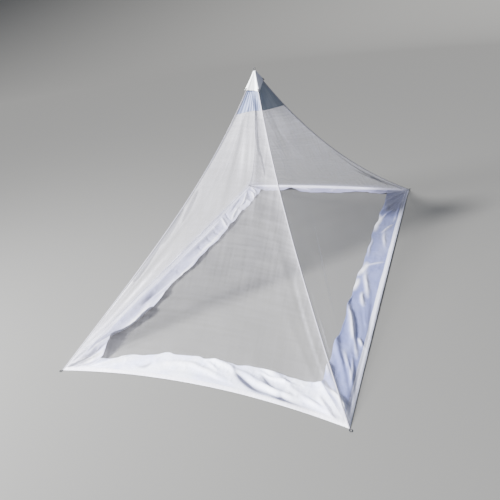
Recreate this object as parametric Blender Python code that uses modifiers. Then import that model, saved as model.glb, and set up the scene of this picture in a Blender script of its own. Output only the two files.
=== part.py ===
"""Camping mosquito net canopy: a sagging four-sided net pyramid on a ground band.

Units are metres, +Z is up.  The front hem runs along X at -Y, the long sides run
along Y, and the origin is on the ground at the middle of the plan.
"""
import math

import bmesh
import bpy
import numpy as np

# ---------------------------------------------------------------- driving sizes
HALF_WIDTH = 0.605            # middle to the outer end of a peg loop, across the front
HALF_LENGTH = 1.105           # the same along the long sides
HEIGHT = 1.005                # ground to the top of the hanging loop
TOP_OFF_CENTRE = (-0.030, -0.010)   # the hanging point stands a little off the middle
TOP_LOOP = 0.020              # height of the hanging loop
PEG_LOOP = 0.018              # length of a peg loop
LOOP_EYE_WIDTH = 0.012        # across a loop, between the middles of its cord
LOOP_FOOT_SHARE = 0.60        # a loop is this much narrower at its foot
LOOP_CORD = 0.0025            # diameter of the loops' cord

SHEET = 0.0012                # thickness of every cloth sheet
GAP = 0.0003                  # between pieces that touch
SEAM_GAP = 0.0004             # between a sheet's edge and the tape that holds it
TAPE_ARM = 0.0040             # the seam tape reaches this far to each side of a hip
TAPE_PROUD = 0.0015           # the tape's thickness outside the hip line
TAPE_INSIDE = 0.0003          # and inside it

CAP_JOIN_GAP = 0.0008         # between the net's top edge and the cap band
CAP_END = 0.945               # fraction of the hip where band and tapes end, in the tip
TIP_HEM = 0.930               # fraction of the hip where the tip's hem lies
TIP_CLEARANCE = 0.0035        # the tip stands this far off the band and tapes
TIP_FLARE = 0.0040            # and its hem this much farther

BAND_OFF_HEM = 0.0033         # from the net's hem to the ground band's outer edge
BAND_CORNER_CUT = 0.016       # the band stops this far from a corner, under the hip
MITRE_GAP = 0.0006            # between two bands along their mitre
MITRE_PASSES = 6              # repeats that settle where two bowed bands meet
BAND_SETTLE = 0.30            # share of the width over which the band comes down

STEP = 0.001                  # small step for slopes, as a fraction of a hip
NET_COLUMNS, NET_ROWS = 20, 15
CAP_ROWS, TIP_ROWS, TIP_COLUMNS = 3, 5, 6
BAND_ROWS = 4
LOOP_POINTS = 16

# name: x sign, y sign, sag of the hip, skew of the sag to its foot, cap edge fraction
CORNERS = {
    "front_left": (-1, -1, 0.070, -0.45, 0.868),
    "front_right": (1, -1, 0.140, -0.30, 0.886),
    "back_right": (1, 1, 0.086, -0.15, 0.850),
    "back_left": (-1, 1, 0.120, -0.15, 0.870),
}

# name: first corner, last corner, inward bow of the hem, lift of the hem at mid-span,
#       inward bow of the net, width of the ground band, columns of the band
SIDES = {
    "front": ("front_left", "front_right", 0.060, 0.004, 0.030, 0.146, 30),
    "right": ("front_right", "back_right", 0.004, 0.010, 0.020, 0.132, 46),
    "back": ("back_right", "back_left", 0.004, 0.012, 0.030, 0.112, 30),
    "left": ("back_left", "front_left", 0.030, 0.014, 0.020, 0.132, 46),
}

# Net folds. Each row: place along the hem (0 to 1), place along the cap edge,
# height where it starts and ends (fraction of the panel), half width, height.
NET_FOLDS = {
    "front": [
        (0.06, 0.34, 0.02, 0.62, 0.030, 0.008),
        (0.16, 0.44, 0.05, 0.50, 0.040, 0.006),
        (0.30, 0.26, 0.45, 1.00, 0.022, 0.007),
        (0.46, 0.48, 0.40, 1.00, 0.022, 0.006),
        (0.72, 0.68, 0.50, 1.00, 0.020, 0.008),
        (0.94, 0.70, 0.02, 0.50, 0.035, 0.007),
    ],
    "right": [
        (0.04, 0.22, 0.02, 0.55, 0.040, 0.008),
        (0.30, 0.34, 0.45, 1.00, 0.030, 0.006),
        (0.62, 0.60, 0.50, 1.00, 0.030, 0.006),
        (0.94, 0.66, 0.02, 0.55, 0.040, 0.010),
        (0.97, 0.80, 0.02, 0.50, 0.030, 0.008),
    ],
    "back": [
        (0.06, 0.30, 0.02, 0.55, 0.035, 0.008),
        (0.50, 0.46, 0.45, 1.00, 0.025, 0.006),
        (0.94, 0.74, 0.02, 0.50, 0.035, 0.006),
    ],
    "left": [
        (0.05, 0.28, 0.02, 0.50, 0.040, 0.006),
        (0.40, 0.38, 0.50, 1.00, 0.030, 0.006),
        (0.74, 0.70, 0.45, 1.00, 0.028, 0.006),
        (0.95, 0.68, 0.02, 0.60, 0.045, 0.010),
    ],
}

# Ground band folds. Each row: place at the hem and at the inner edge, both from 0 to 1
# between the band's mitres, half width, height at the inner edge.
BAND_FOLDS = {
    "front": [
        (0.000, 0.000, 0.022, 0.014),
        (0.020, 0.090, 0.030, 0.010),
        (0.060, 0.280, 0.045, 0.007),
        (0.940, 0.520, 0.040, 0.012),
        (0.970, 0.780, 0.030, 0.010),
        (1.000, 1.000, 0.022, 0.018),
    ],
    "right": [
        (0.000, 0.000, 0.022, 0.018),
        (0.010, 0.045, 0.028, 0.016),
        (0.025, 0.140, 0.036, 0.014),
        (0.050, 0.280, 0.050, 0.009),
        (0.560, 0.520, 0.060, 0.007),
        (0.960, 0.840, 0.050, 0.010),
        (1.000, 1.000, 0.026, 0.012),
    ],
    "back": [
        (0.000, 0.000, 0.026, 0.012),
        (0.420, 0.440, 0.060, 0.005),
        (0.740, 0.740, 0.045, 0.026),
        (1.000, 1.000, 0.024, 0.012),
    ],
    "left": [
        (0.000, 0.000, 0.024, 0.012),
        (0.050, 0.055, 0.024, 0.011),
        (0.110, 0.120, 0.026, 0.012),
        (0.190, 0.200, 0.028, 0.009),
        (0.310, 0.315, 0.036, 0.007),
        (0.560, 0.545, 0.060, 0.006),
        (0.760, 0.735, 0.040, 0.010),
        (0.930, 0.905, 0.060, 0.032),
        (1.000, 1.000, 0.022, 0.014),
    ],
}

# Waves of the band's inner edge: amplitude, waves along the side, phase.
EDGE_WAVES = [(0.0050, 3.0, 0.8), (0.0035, 7.0, 2.1), (0.0020, 13.0, 4.0)]

FOLD_FREE_EDGE = 0.008        # no fold this close to a hip
FOLD_FADE = 0.030             # and full height this much farther in
FOLD_ENDS_BELOW_TIP = 0.050   # folds run out over this fraction below the tip's hem

FLAT_BELOW = 0.0005           # folds lower than this lie flat on the ground
EDGE_WAVE_FADE = 0.12         # share of a side over which the waves start

# material: base colour, roughness
CLOTHS = {
    "net": ((0.90, 0.90, 0.93, 1.0), 0.80),
    "cap_cloth": ((0.62, 0.69, 0.78, 1.0), 0.50),
    "tip_cloth": ((0.93, 0.94, 0.94, 1.0), 0.45),
    "band_cloth": ((0.86, 0.87, 0.93, 1.0), 0.35),
    "seam_tape": ((0.92, 0.92, 0.94, 1.0), 0.60),
    "loop_cord": ((0.20, 0.21, 0.24, 1.0), 0.70),
}

# The four hips would meet here, at the outside of the tip's flat top.
TOP = np.array([*TOP_OFF_CENTRE, HEIGHT - TOP_LOOP - GAP])


# ---------------------------------------------------------------- curves and surfaces
def unit(vectors):
    """Vectors scaled to length one."""
    return vectors / np.linalg.norm(vectors, axis=-1, keepdims=True)


def outer_end(name):
    """Plan direction from the middle to a corner, and the outer end of its peg loop."""
    sign_x, sign_y = CORNERS[name][:2]
    end = np.array([sign_x * HALF_WIDTH, sign_y * HALF_LENGTH, 0.0])
    return unit(end), end


def corner(name):
    """Foot of a hip: where hem, tape and peg loop meet on the ground."""
    direction, end = outer_end(name)
    return end - direction * PEG_LOOP


def hip(name, s):
    """Hip line from its foot (s = 0) to the top (s = 1), sagging in its own plane."""
    s = np.asarray(s, float)
    foot = corner(name)
    run = TOP - foot
    sag, skew = CORNERS[name][2:4]
    reach = math.hypot(run[0], run[1])
    down = unit(np.array([run[0] * run[2] / reach, run[1] * run[2] / reach, -reach]))
    dip = sag * 4 * s * (1 - s) * (1 + skew * (1 - 2 * s))
    return foot + s[..., None] * run + dip[..., None] * down


def sides_at(name):
    """The side that starts at a corner, and the side that ends there."""
    starting = {row[0]: side for side, row in SIDES.items()}
    ending = {row[1]: side for side, row in SIDES.items()}
    return starting[name], ending[name]


def inward(side):
    """Level direction from a side's hem towards the middle."""
    first, last = (corner(name) for name in SIDES[side][:2])
    along = last - first
    return unit(np.array([-along[1], along[0], 0.0]))


def panel(side, u, s):
    """Smooth side of the pyramid: u runs along the hem, s up to the top."""
    first, last, bow, lift, belly = SIDES[side][:5]
    u, s = np.broadcast_arrays(np.asarray(u, float), np.asarray(s, float))
    arc = 4 * u * (1 - u)
    between = (1 - u)[..., None] * hip(first, s) + u[..., None] * hip(last, s)
    fade = (1 - s) ** 1.5
    inwards = bow * arc * fade + belly * arc * 4 * s * (1 - s)
    shape = between + inwards[..., None] * inward(side)
    shape[..., 2] += lift * arc * fade
    return shape


def cap_edge(side, u):
    """Fraction of the hips where the net meets the cap band, along the side."""
    first, last = (CORNERS[name][4] for name in SIDES[side][:2])
    return first + (last - first) * u


def outward(points):
    """Outward unit normals of a grid of points whose columns run along the hem."""
    return unit(np.cross(np.gradient(points, axis=1), np.gradient(points, axis=0)))


def net_folds(side, u, s, spread):
    """Height of the soft folds at fraction s of the hips, where a side is spread wide."""
    t = s / cap_edge(side, u)
    height = np.zeros_like(u)
    for at_hem, at_cap, start, end, half_width, rise in NET_FOLDS[side]:
        away = (u - (at_hem + (at_cap - at_hem) * t)) * spread
        middle = np.clip((t - start) / (end - start), 0, 1)
        length = np.where(end < 1, np.sin(np.pi * middle), np.sin(np.pi / 2 * middle))
        height += rise * length * np.exp(-(away / half_width) ** 2)
    at_edge = np.clip((np.minimum(u, 1 - u) * spread - FOLD_FREE_EDGE) / FOLD_FADE, 0, 1)
    under_tip = np.clip((TIP_HEM - s) / FOLD_ENDS_BELOW_TIP, 0, 1)
    return height * at_edge * under_tip


def even_columns(count, crowding):
    """Places from 0 to 1, closer together at both ends."""
    t = np.linspace(0, 1, count + 1)
    return t - crowding * np.sin(2 * np.pi * t) / (2 * np.pi)


def edge_trim(side, name, u, s):
    """Share of a side to leave out at one hip, so that its tape and seam gap fit in."""
    step = STEP if u == 0 else -STEP
    tangent = unit(hip(name, s + STEP) - hip(name, s - STEP))
    across = (panel(side, u + step, s) - panel(side, u, s)) / STEP
    return (TAPE_ARM + SEAM_GAP) / np.linalg.norm(np.cross(tangent, across), axis=-1)


def side_grid(side, columns, fractions):
    """Folded grid on one side between its tapes; fractions(u) gives the row heights."""
    first, last = SIDES[side][:2]
    base = even_columns(columns, 0.6)
    s = fractions(base)
    spread = np.linalg.norm(panel(side, 1.0, s) - panel(side, 0.0, s), axis=-1)
    trim_first = edge_trim(side, first, 0.0, s)
    trim_last = edge_trim(side, last, 1.0, s)
    u = trim_first + base * (1 - trim_first - trim_last)
    points = panel(side, u, s)
    folds = net_folds(side, u, s, spread)
    return points + folds[..., None] * outward(points)


# ---------------------------------------------------------------- objects
def make_material(name):
    colour, roughness = CLOTHS[name]
    material = bpy.data.materials.new(name)
    material.use_nodes = True
    shader = material.node_tree.nodes["Principled BSDF"]
    shader.inputs["Base Color"].default_value = colour
    shader.inputs["Roughness"].default_value = roughness
    shader.inputs["Metallic"].default_value = 0.0
    return material


def add_object(name, data, material):
    obj = bpy.data.objects.new(name, data)
    obj.data.materials.append(material)
    PARTS.objects.link(obj)
    return obj


def grid_faces(rows, columns, closed=False):
    """Quads of a grid whose points are numbered row by row."""
    wide = columns if closed else columns + 1
    return [
        (r * wide + c, r * wide + (c + 1) % wide,
         (r + 1) * wide + (c + 1) % wide, (r + 1) * wide + c)
        for r in range(rows) for c in range(columns)
    ]


def cloth_sheet(name, points, material):
    """Sheet of cloth: an open grid, thickened to the side its faces look at."""
    rows, columns = points.shape[0] - 1, points.shape[1] - 1
    mesh = bpy.data.meshes.new(name)
    mesh.from_pydata(points.reshape(-1, 3).tolist(), [], grid_faces(rows, columns))
    obj = add_object(name, mesh, material)
    solidify = obj.modifiers.new("thickness", "SOLIDIFY")
    solidify.thickness = SHEET
    solidify.offset = 1.0
    mesh.shade_smooth()
    return obj


def add_net(side):
    """Net panel from the hem to the cap band."""
    heights = np.linspace(0, 1, NET_ROWS + 1)[:, None]
    points = side_grid(
        side, NET_COLUMNS, lambda u: heights * (cap_edge(side, u) - CAP_JOIN_GAP))
    cloth_sheet("net_" + side, points, MATERIALS["net"])


def add_cap_band(side):
    """Denser cloth band above the net, up into the tip."""
    heights = np.linspace(0, 1, CAP_ROWS + 1)[:, None]

    def fractions(u):
        edge = cap_edge(side, u) + CAP_JOIN_GAP
        return edge + heights * (CAP_END - edge)

    points = side_grid(side, NET_COLUMNS // 2, fractions)
    cloth_sheet("cap_band_" + side, points, MATERIALS["cap_cloth"])


def add_tape(name):
    """Folded seam tape over a hip: a chevron section carried along the hip line."""
    next_side, last_side = sides_at(name)
    edge = CORNERS[name][4]
    stations = np.concatenate([
        np.linspace(0, 1, NET_ROWS + 1) * edge,
        edge + np.linspace(0, 1, CAP_ROWS + 1)[1:] * (CAP_END - edge)])
    line = hip(name, stations)
    tangent = unit(np.gradient(line, axis=0))
    arms, normals = [], []
    for side, start, turn in ((next_side, 0.0, 1), (last_side, 1.0, -1)):
        near = panel(side, start + turn * STEP, stations) - line
        arm = unit(near - np.sum(near * tangent, axis=-1, keepdims=True) * tangent)
        arms.append(arm)
        normals.append(unit(np.cross(arm, tangent)) * turn)
    middle = unit(normals[0] + normals[1])
    lean = np.sum(middle * normals[0], axis=-1, keepdims=True)
    ring = np.stack([
        line + middle * TAPE_PROUD / lean,
        line + arms[0] * TAPE_ARM + normals[0] * TAPE_PROUD,
        line + arms[0] * TAPE_ARM - normals[0] * TAPE_INSIDE,
        line - middle * TAPE_INSIDE / lean,
        line + arms[1] * TAPE_ARM - normals[1] * TAPE_INSIDE,
        line + arms[1] * TAPE_ARM + normals[1] * TAPE_PROUD], axis=1)
    outwards = outer_end(name)[0]
    overhang = (ring[0] - line[0]) @ outwards
    ring[0] -= overhang[:, None] * tangent[0] / (tangent[0] @ outwards)
    ring[..., 2] = np.maximum(ring[..., 2], 0.0)
    rows, columns = len(stations) - 1, ring.shape[1]
    faces = grid_faces(rows, columns, closed=True)
    faces.append(tuple(range(columns))[::-1])
    faces.append(tuple(rows * columns + c for c in range(columns)))
    mesh = bpy.data.meshes.new(name)
    mesh.from_pydata(ring.reshape(-1, 3).tolist(), [], faces)
    recalculate_normals(mesh)
    add_object("seam_tape_" + name, mesh, MATERIALS["seam_tape"])


def recalculate_normals(mesh):
    """Turn all faces of a closed mesh outwards."""
    edit = bmesh.new()
    edit.from_mesh(mesh)
    bmesh.ops.recalc_face_normals(edit, faces=edit.faces)
    edit.to_mesh(mesh)
    edit.free()


def tip_facing(side):
    """Level direction that a side of the tip faces."""
    first, last = (hip(name, TIP_HEM) for name in SIDES[side][:2])
    along = last - first
    return unit(np.array([along[1], -along[0], 0.0]))


def add_tip():
    """White cloth tip pulled over the cap: rings off the four sides, closed on top."""
    u = np.arange(TIP_COLUMNS) / TIP_COLUMNS
    share = np.linspace(0, 1, TIP_ROWS + 1)[:, None]
    s = TIP_HEM + (1 - SHEET / TOP[2] - TIP_HEM) * share
    stand_off = TIP_CLEARANCE + TIP_FLARE * (1 - share) ** 2
    quarters = []
    for side in SIDES:
        here, before = tip_facing(side), tip_facing(sides_at(SIDES[side][0])[1])
        away = np.tile(here, (TIP_COLUMNS, 1))
        away[0] = (here + before) / (1 + here @ before)
        quarters.append(panel(side, u, s) + stand_off[..., None] * away)
    rings = np.concatenate(quarters, axis=1)
    rings[-1, :, 2] = TOP[2] - SHEET
    columns = rings.shape[1]
    faces = grid_faces(TIP_ROWS, columns, closed=True)
    faces.append(tuple(TIP_ROWS * columns + c for c in range(columns)))
    mesh = bpy.data.meshes.new("tip")
    mesh.from_pydata(rings.reshape(-1, 3).tolist(), [], faces)
    obj = add_object("tip", mesh, MATERIALS["tip_cloth"])
    solidify = obj.modifiers.new("thickness", "SOLIDIFY")
    solidify.thickness = SHEET
    solidify.offset = 1.0
    solidify.use_even_offset = True


def side_length(side):
    first, last = SIDES[side][:2]
    return np.linalg.norm(corner(last) - corner(first))


def band_depth(side, x, v):
    """Distance inwards from the corners' line, x along the side, v across the band."""
    bow, width = SIDES[side][2], SIDES[side][5]
    u = x / side_length(side)
    return BAND_OFF_HEM + width * v + bow * 4 * u * (1 - u)


def mitre(name, v):
    """Where two bands meet at a corner: distances along the next and the last side."""
    next_side, last_side = sides_at(name)
    along_next, along_last = 0.0 * v, 0.0 * v
    for _ in range(MITRE_PASSES):
        along_next = band_depth(last_side, along_last, v)
        along_last = band_depth(next_side, along_next, v)
    return along_next, along_last


def add_band(side):
    """Ground band: sewn inside the hem, turned inwards and lying on the ground."""
    first, last, _, lift, _, width, columns = SIDES[side]
    length = side_length(side)
    start = corner(first)
    along = (corner(last) - start) / length
    v = np.linspace(0, 1, BAND_ROWS + 1)[:, None]
    from_first = np.maximum(mitre(first, v)[0] + MITRE_GAP, BAND_CORNER_CUT)
    from_last = np.maximum(mitre(last, v)[1] + MITRE_GAP, BAND_CORNER_CUT)
    row_length = length - from_first - from_last
    t = even_columns(columns, 0.35)
    x = from_first + t * row_length
    wave = sum(size * np.sin(2 * np.pi * count * t + phase)
               for size, count, phase in EDGE_WAVES)
    ends = np.clip(np.minimum(t, 1 - t) / EDGE_WAVE_FADE, 0, 1)
    inwards = band_depth(side, x, v) + wave * ends * v
    settle = (1 - np.clip(v / BAND_SETTLE, 0, 1)) ** 2
    height = lift * 4 * t * (1 - t) * settle
    for at_hem, at_inner, half_width, rise in BAND_FOLDS[side]:
        away = (t - at_hem - (at_inner - at_hem) * v) * row_length
        height = height + rise * v ** 1.3 * np.exp(-(away / half_width) ** 2)
    points = start + x[..., None] * along + inwards[..., None] * inward(side)
    points[..., 2] = np.maximum(height - FLAT_BELOW, 0.0)
    cloth_sheet("ground_band_" + side, points, MATERIALS["band_cloth"])


def loop_path(length):
    """Egg-shaped closed path: its narrow end at 0, its round end at the given length."""
    angle = 2 * np.pi * np.arange(LOOP_POINTS) / LOOP_POINTS
    run = length / 2 * (1 - np.cos(angle))
    taper = LOOP_FOOT_SHARE + (1 - LOOP_FOOT_SHARE) * run / length
    across = LOOP_EYE_WIDTH / 2 * np.sin(angle) * taper
    return run, across


def add_loop(name, foot, direction, across_direction, length):
    """Cord loop whose narrow end touches foot and whose round end is length away."""
    run, across = loop_path(length - LOOP_CORD)
    middle = foot + direction * LOOP_CORD / 2
    points = middle + run[:, None] * direction + across[:, None] * across_direction
    curve = bpy.data.curves.new(name, "CURVE")
    curve.dimensions = "3D"
    curve.bevel_depth = LOOP_CORD / 2
    curve.bevel_resolution = 1
    spline = curve.splines.new("POLY")
    spline.points.add(len(points) - 1)
    for spot, point in zip(spline.points, points):
        spot.co = (*point, 1.0)
    spline.use_cyclic_u = True
    add_object(name, curve, MATERIALS["loop_cord"])


def add_peg_loop(name):
    direction, end = outer_end(name)
    foot = corner(name) + direction * GAP + np.array([0.0, 0.0, LOOP_CORD / 2])
    across = np.array([-direction[1], direction[0], 0.0])
    add_loop("peg_loop_" + name, foot, direction, across, PEG_LOOP - GAP)


def add_top_loop():
    foot = np.array([TOP[0], TOP[1], HEIGHT - TOP_LOOP])
    add_loop("top_loop", foot, np.array([0.0, 0.0, 1.0]), np.array([1.0, 0.0, 0.0]),
             TOP_LOOP)


for old in list(bpy.data.objects):
    bpy.data.objects.remove(old, do_unlink=True)
PARTS = bpy.data.collections.new("mosquito_net_canopy")
bpy.context.scene.collection.children.link(PARTS)
MATERIALS = {name: make_material(name) for name in CLOTHS}

for side_name in SIDES:
    add_net(side_name)
    add_cap_band(side_name)
    add_band(side_name)
for corner_name in CORNERS:
    add_tape(corner_name)
    add_peg_loop(corner_name)
add_tip()
add_top_loop()
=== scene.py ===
"""Looks of the camping mosquito net canopy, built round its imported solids.

Units are metres, +Z is up.  The front hem runs along X at -Y, the long sides run
along Y, and the origin is on the ground at the middle of the plan.

Every cloth is a grid of points, a function of two parameters.  Its UV map, "cloth",
holds the place on the flat cloth in metres: first along the hem, measured from the
middle of the side, then up the side or across the band.
"""

import math

import bmesh
import bpy
import numpy as np
from mathutils import Matrix, Vector


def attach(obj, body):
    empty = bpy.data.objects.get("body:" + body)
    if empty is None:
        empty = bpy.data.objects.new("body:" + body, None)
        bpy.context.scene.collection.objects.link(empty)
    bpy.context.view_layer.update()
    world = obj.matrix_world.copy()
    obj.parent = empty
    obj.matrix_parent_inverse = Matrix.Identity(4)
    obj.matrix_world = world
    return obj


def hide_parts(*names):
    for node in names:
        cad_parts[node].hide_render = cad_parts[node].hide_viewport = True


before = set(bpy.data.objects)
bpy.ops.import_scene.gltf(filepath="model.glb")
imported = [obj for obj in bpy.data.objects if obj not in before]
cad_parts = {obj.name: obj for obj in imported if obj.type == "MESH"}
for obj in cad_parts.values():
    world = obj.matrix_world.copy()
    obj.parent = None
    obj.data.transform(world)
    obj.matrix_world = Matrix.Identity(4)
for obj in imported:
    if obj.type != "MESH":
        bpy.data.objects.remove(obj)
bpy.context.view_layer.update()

# ------------------------------------------------------------ sizes of the solids
HALF_WIDTH = 0.605            # middle to the outer end of a peg loop, across the front
HALF_LENGTH = 1.105           # the same along the long sides
HEIGHT = 1.005                # ground to the top of the hanging loop
TOP_OFF_CENTRE = (-0.030, -0.010)   # the hanging point stands a little off the middle
TOP_LOOP = 0.014              # height of the hanging loop
PEG_LOOP = 0.015              # length of a peg loop
LOOP_EYE_WIDTH = 0.0115       # across a loop, between the middles of its cord
LOOP_FOOT_SHARE = 0.60        # a loop is this much narrower at its foot
LOOP_CORD = 0.0025            # diameter of the loops' cord
GAP = 0.0003                  # between pieces that touch

MM = 0.001                    # the tables of fine folds are in millimetres
SHEET = 0.0012                # thickness of the solids' sheets
TAPE_ARM = 0.0030             # the seam tape reaches this far to each side of a hip
TAPE_PROUD = 0.0015           # the tape's thickness outside the hip line
TAPE_INSIDE = 0.0003          # and inside it
CAP_IN_TIP = 0.015            # fraction of the hip that band and tapes reach into the tip
TIP_MIDDLE = 0.950            # the tip's sides face square to the hips at this fraction
TIP_CLEARANCE = 0.0035        # the tip stands this far off the band and tapes
TIP_FLARE = 0.0040            # and its hem this much farther
BAND_OFF_HEM = 0.0033         # from the net's hem to the ground band's outer edge
BAND_CORNER_CUT = 0.016       # the band stops this far from a corner, under the hip
MITRE_GAP = 0.0006            # between two bands along their mitre
MITRE_PASSES = 24             # repeats that settle where two bowed bands meet
BOW_FADE = 1.5                # power by which a hem's bow and lift fade upwards
STEP = 0.001                  # small step for slopes, as a fraction of a hip

# name: x sign, y sign, sag of the hip, skew of the sag to its foot, and the fractions of
#       the hip where the cap band's lower edge and the tip's hem lie
CORNERS = {
    "front_left": (-1, -1, 0.070, -0.45, 0.868, 0.940),
    "front_right": (1, -1, 0.140, -0.30, 0.893, 0.943),
    "back_right": (1, 1, 0.081, -0.15, 0.850, 0.962),
    "back_left": (-1, 1, 0.120, -0.15, 0.870, 0.955),
}
NET_TOP, TIP_HEM = 4, 5       # the columns that hold those two edges

# name: first corner, last corner, inward bow of the hem, lift of the hem at mid-span,
#       inward bow of the net, width of the ground band, share of the width over which
#       the band comes down from the hem
SIDES = {
    "front": ("front_left", "front_right", 0.060, 0.004, 0.030, 0.146, 0.30),
    "right": ("front_right", "back_right", 0.004, 0.004, 0.020, 0.132, 0.30),
    "back": ("back_right", "back_left", 0.004, 0.012, 0.030, 0.112, 0.30),
    "left": ("back_left", "front_left", 0.026, 0.022, 0.020, 0.132, 0.85),
}
HEM_BOW, BAND_WIDTH, BAND_DESCENT = 2, 5, 6    # the columns that are read alone

# Net folds of the solids. Each row: place along the hem (0 to 1), place along the cap
# edge, height where it starts and ends (fraction of the panel), half width, height.
NET_FOLDS = {
    "front": [
        (0.06, 0.34, 0.02, 0.62, 0.030, 0.008), (0.16, 0.44, 0.05, 0.50, 0.040, 0.006),
        (0.30, 0.26, 0.45, 1.00, 0.022, 0.007), (0.46, 0.48, 0.40, 1.00, 0.022, 0.006),
        (0.72, 0.68, 0.50, 1.00, 0.020, 0.008), (0.94, 0.70, 0.02, 0.50, 0.035, 0.007),
    ],
    "right": [
        (0.04, 0.22, 0.02, 0.55, 0.040, 0.008), (0.30, 0.34, 0.45, 1.00, 0.030, 0.006),
        (0.62, 0.60, 0.50, 1.00, 0.030, 0.006), (0.94, 0.66, 0.02, 0.55, 0.040, 0.010),
        (0.97, 0.80, 0.02, 0.50, 0.030, 0.008),
    ],
    "back": [
        (0.06, 0.30, 0.02, 0.55, 0.035, 0.008), (0.50, 0.46, 0.45, 1.00, 0.025, 0.006),
        (0.94, 0.74, 0.02, 0.50, 0.035, 0.006),
    ],
    "left": [
        (0.05, 0.28, 0.02, 0.50, 0.040, 0.006), (0.40, 0.38, 0.50, 1.00, 0.030, 0.006),
        (0.74, 0.70, 0.45, 1.00, 0.028, 0.006), (0.95, 0.68, 0.02, 0.60, 0.045, 0.010),
    ],
}
FOLD_FREE_EDGE = 0.008        # no fold this close to a hip
FOLD_FADE = 0.030             # and full height this much farther in
FOLD_ENDS_BELOW_TIP = 0.050   # folds run out over this fraction below the tip's hem

# Ground band folds of the solids. Each row: place at the hem and at the inner edge,
# both from 0 to 1 between the band's mitres, half width, height at the inner edge.
BAND_FOLDS = {
    "front": [
        (0.000, 0.000, 0.022, 0.014), (0.020, 0.090, 0.030, 0.010),
        (0.060, 0.280, 0.045, 0.007), (0.940, 0.520, 0.040, 0.012),
        (0.970, 0.780, 0.030, 0.010), (1.000, 1.000, 0.022, 0.018),
    ],
    "right": [
        (0.000, 0.000, 0.022, 0.018), (0.010, 0.045, 0.028, 0.016),
        (0.025, 0.140, 0.036, 0.014), (0.050, 0.280, 0.050, 0.009),
        (0.560, 0.520, 0.060, 0.007), (0.960, 0.840, 0.050, 0.010),
        (1.000, 1.000, 0.026, 0.012),
    ],
    "back": [
        (0.000, 0.000, 0.026, 0.012), (0.420, 0.440, 0.060, 0.005),
        (0.740, 0.740, 0.045, 0.026), (1.000, 1.000, 0.024, 0.012),
    ],
    "left": [
        (0.000, 0.000, 0.024, 0.012), (0.050, 0.055, 0.024, 0.011),
        (0.110, 0.120, 0.026, 0.012), (0.190, 0.200, 0.028, 0.009),
        (0.310, 0.315, 0.036, 0.007), (0.560, 0.545, 0.060, 0.006),
        (0.760, 0.735, 0.040, 0.010), (0.915, 0.952, 0.070, 0.040),
        (1.000, 1.000, 0.022, 0.014),
    ],
}
# Waves of the band's inner edge: amplitude, waves along the side, phase.
EDGE_WAVES = [(0.0040, 3.0, 0.8), (0.0030, 7.0, 2.1), (0.0020, 13.0, 4.0)]
# Where a band is narrower. Each row: place from the side's first corner in metres, half
# width of the narrow stretch, share of the band's width that is missing there.
NARROWINGS = {
    "front": [(0.000, 0.220, 0.95)],
    "right": [],
    "back": [(0.330, 0.160, 0.30), (0.860, 0.160, 0.26)],
    "left": [(1.955, 0.100, 0.28), (1.480, 0.110, 0.22)],
}
EDGE_WAVE_FADE = 0.12         # share of a side over which the waves start

TOP = np.array([*TOP_OFF_CENTRE, HEIGHT - TOP_LOOP - GAP])

# ------------------------------------------------------------ sizes of the fine cloth
NET_GRID = {"front": (140, 240), "right": (140, 360), "back": (120, 200),
            "left": (140, 360)}      # rows and columns of a net panel
CAP_GRID = (20, 96)
BAND_GRID = {"front": (44, 300), "right": (44, 420), "back": (36, 300),
             "left": (44, 420)}
TIP_ROWS, TIP_COLUMNS = 26, 26    # columns for each of the four sides

NET_SINK = 0.0006             # the net runs through the middle of its solid
NET_UNDER_TAPE = 0.0012       # its edge ends this far from the hip, inside the tape
CAP_OVERLAP = 0.006           # the cap cloth laps this fraction over the net
CAP_PROUD = 0.0011            # and lies this far outside the hip surface there
BAND_CLOTH = 0.0006           # thickness of the ground band's cloth
TIP_CLOTH = 0.0008            # thickness of the tip's cloth
FACING = 0.022                # width of the doubled hem along the band's outer edge
FACING_STEP = 0.0009          # it stands this much higher than the single cloth


# ------------------------------------------------------------ the canopy's surface
def unit(vectors):
    """Vectors scaled to length one."""
    return vectors / np.linalg.norm(vectors, axis=-1, keepdims=True)


def outer_end(name):
    """Plan direction from the middle to a corner, and the outer end of its peg loop."""
    sign_x, sign_y = CORNERS[name][:2]
    end = np.array([sign_x * HALF_WIDTH, sign_y * HALF_LENGTH, 0.0])
    return unit(end), end


def corner(name):
    """Foot of a hip: where hem, tape and peg loop meet on the ground."""
    direction, end = outer_end(name)
    return end - direction * PEG_LOOP


def hip(name, s):
    """Hip from its foot (s = 0) to the top (s = 1): the straight line plus a skewed
    parabola of sag, square to the line in its upright plane."""
    s = np.asarray(s, float)
    foot = corner(name)
    run = TOP - foot
    sag, skew = CORNERS[name][2:4]
    reach = math.hypot(run[0], run[1])
    down = unit(np.array([run[0] * run[2] / reach, run[1] * run[2] / reach, -reach]))
    dip = sag * 4 * s * (1 - s) * (1 + skew * (1 - 2 * s))
    return foot + s[..., None] * run + dip[..., None] * down


def sides_at(name):
    """The side that starts at a corner, and the side that ends there."""
    starting = {row[0]: side for side, row in SIDES.items()}
    ending = {row[1]: side for side, row in SIDES.items()}
    return starting[name], ending[name]


def inward(side):
    """Level direction from a side's hem towards the middle."""
    first, last = (corner(name) for name in SIDES[side][:2])
    along = last - first
    return unit(np.array([-along[1], along[0], 0.0]))


def panel(side, u, s):
    """Smooth side of the pyramid: the straight line between the two hips at height s,
    bowed inwards by a parabola that fades upwards, and bellied inwards in the middle."""
    first, last, bow, lift, belly = SIDES[side][:5]
    u, s = np.broadcast_arrays(np.asarray(u, float), np.asarray(s, float))
    arc = 4 * u * (1 - u)
    between = (1 - u)[..., None] * hip(first, s) + u[..., None] * hip(last, s)
    fade = (1 - s) ** BOW_FADE
    inwards = bow * arc * fade + belly * arc * 4 * s * (1 - s)
    shape = between + inwards[..., None] * inward(side)
    shape[..., 2] += lift * arc * fade
    return shape


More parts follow.
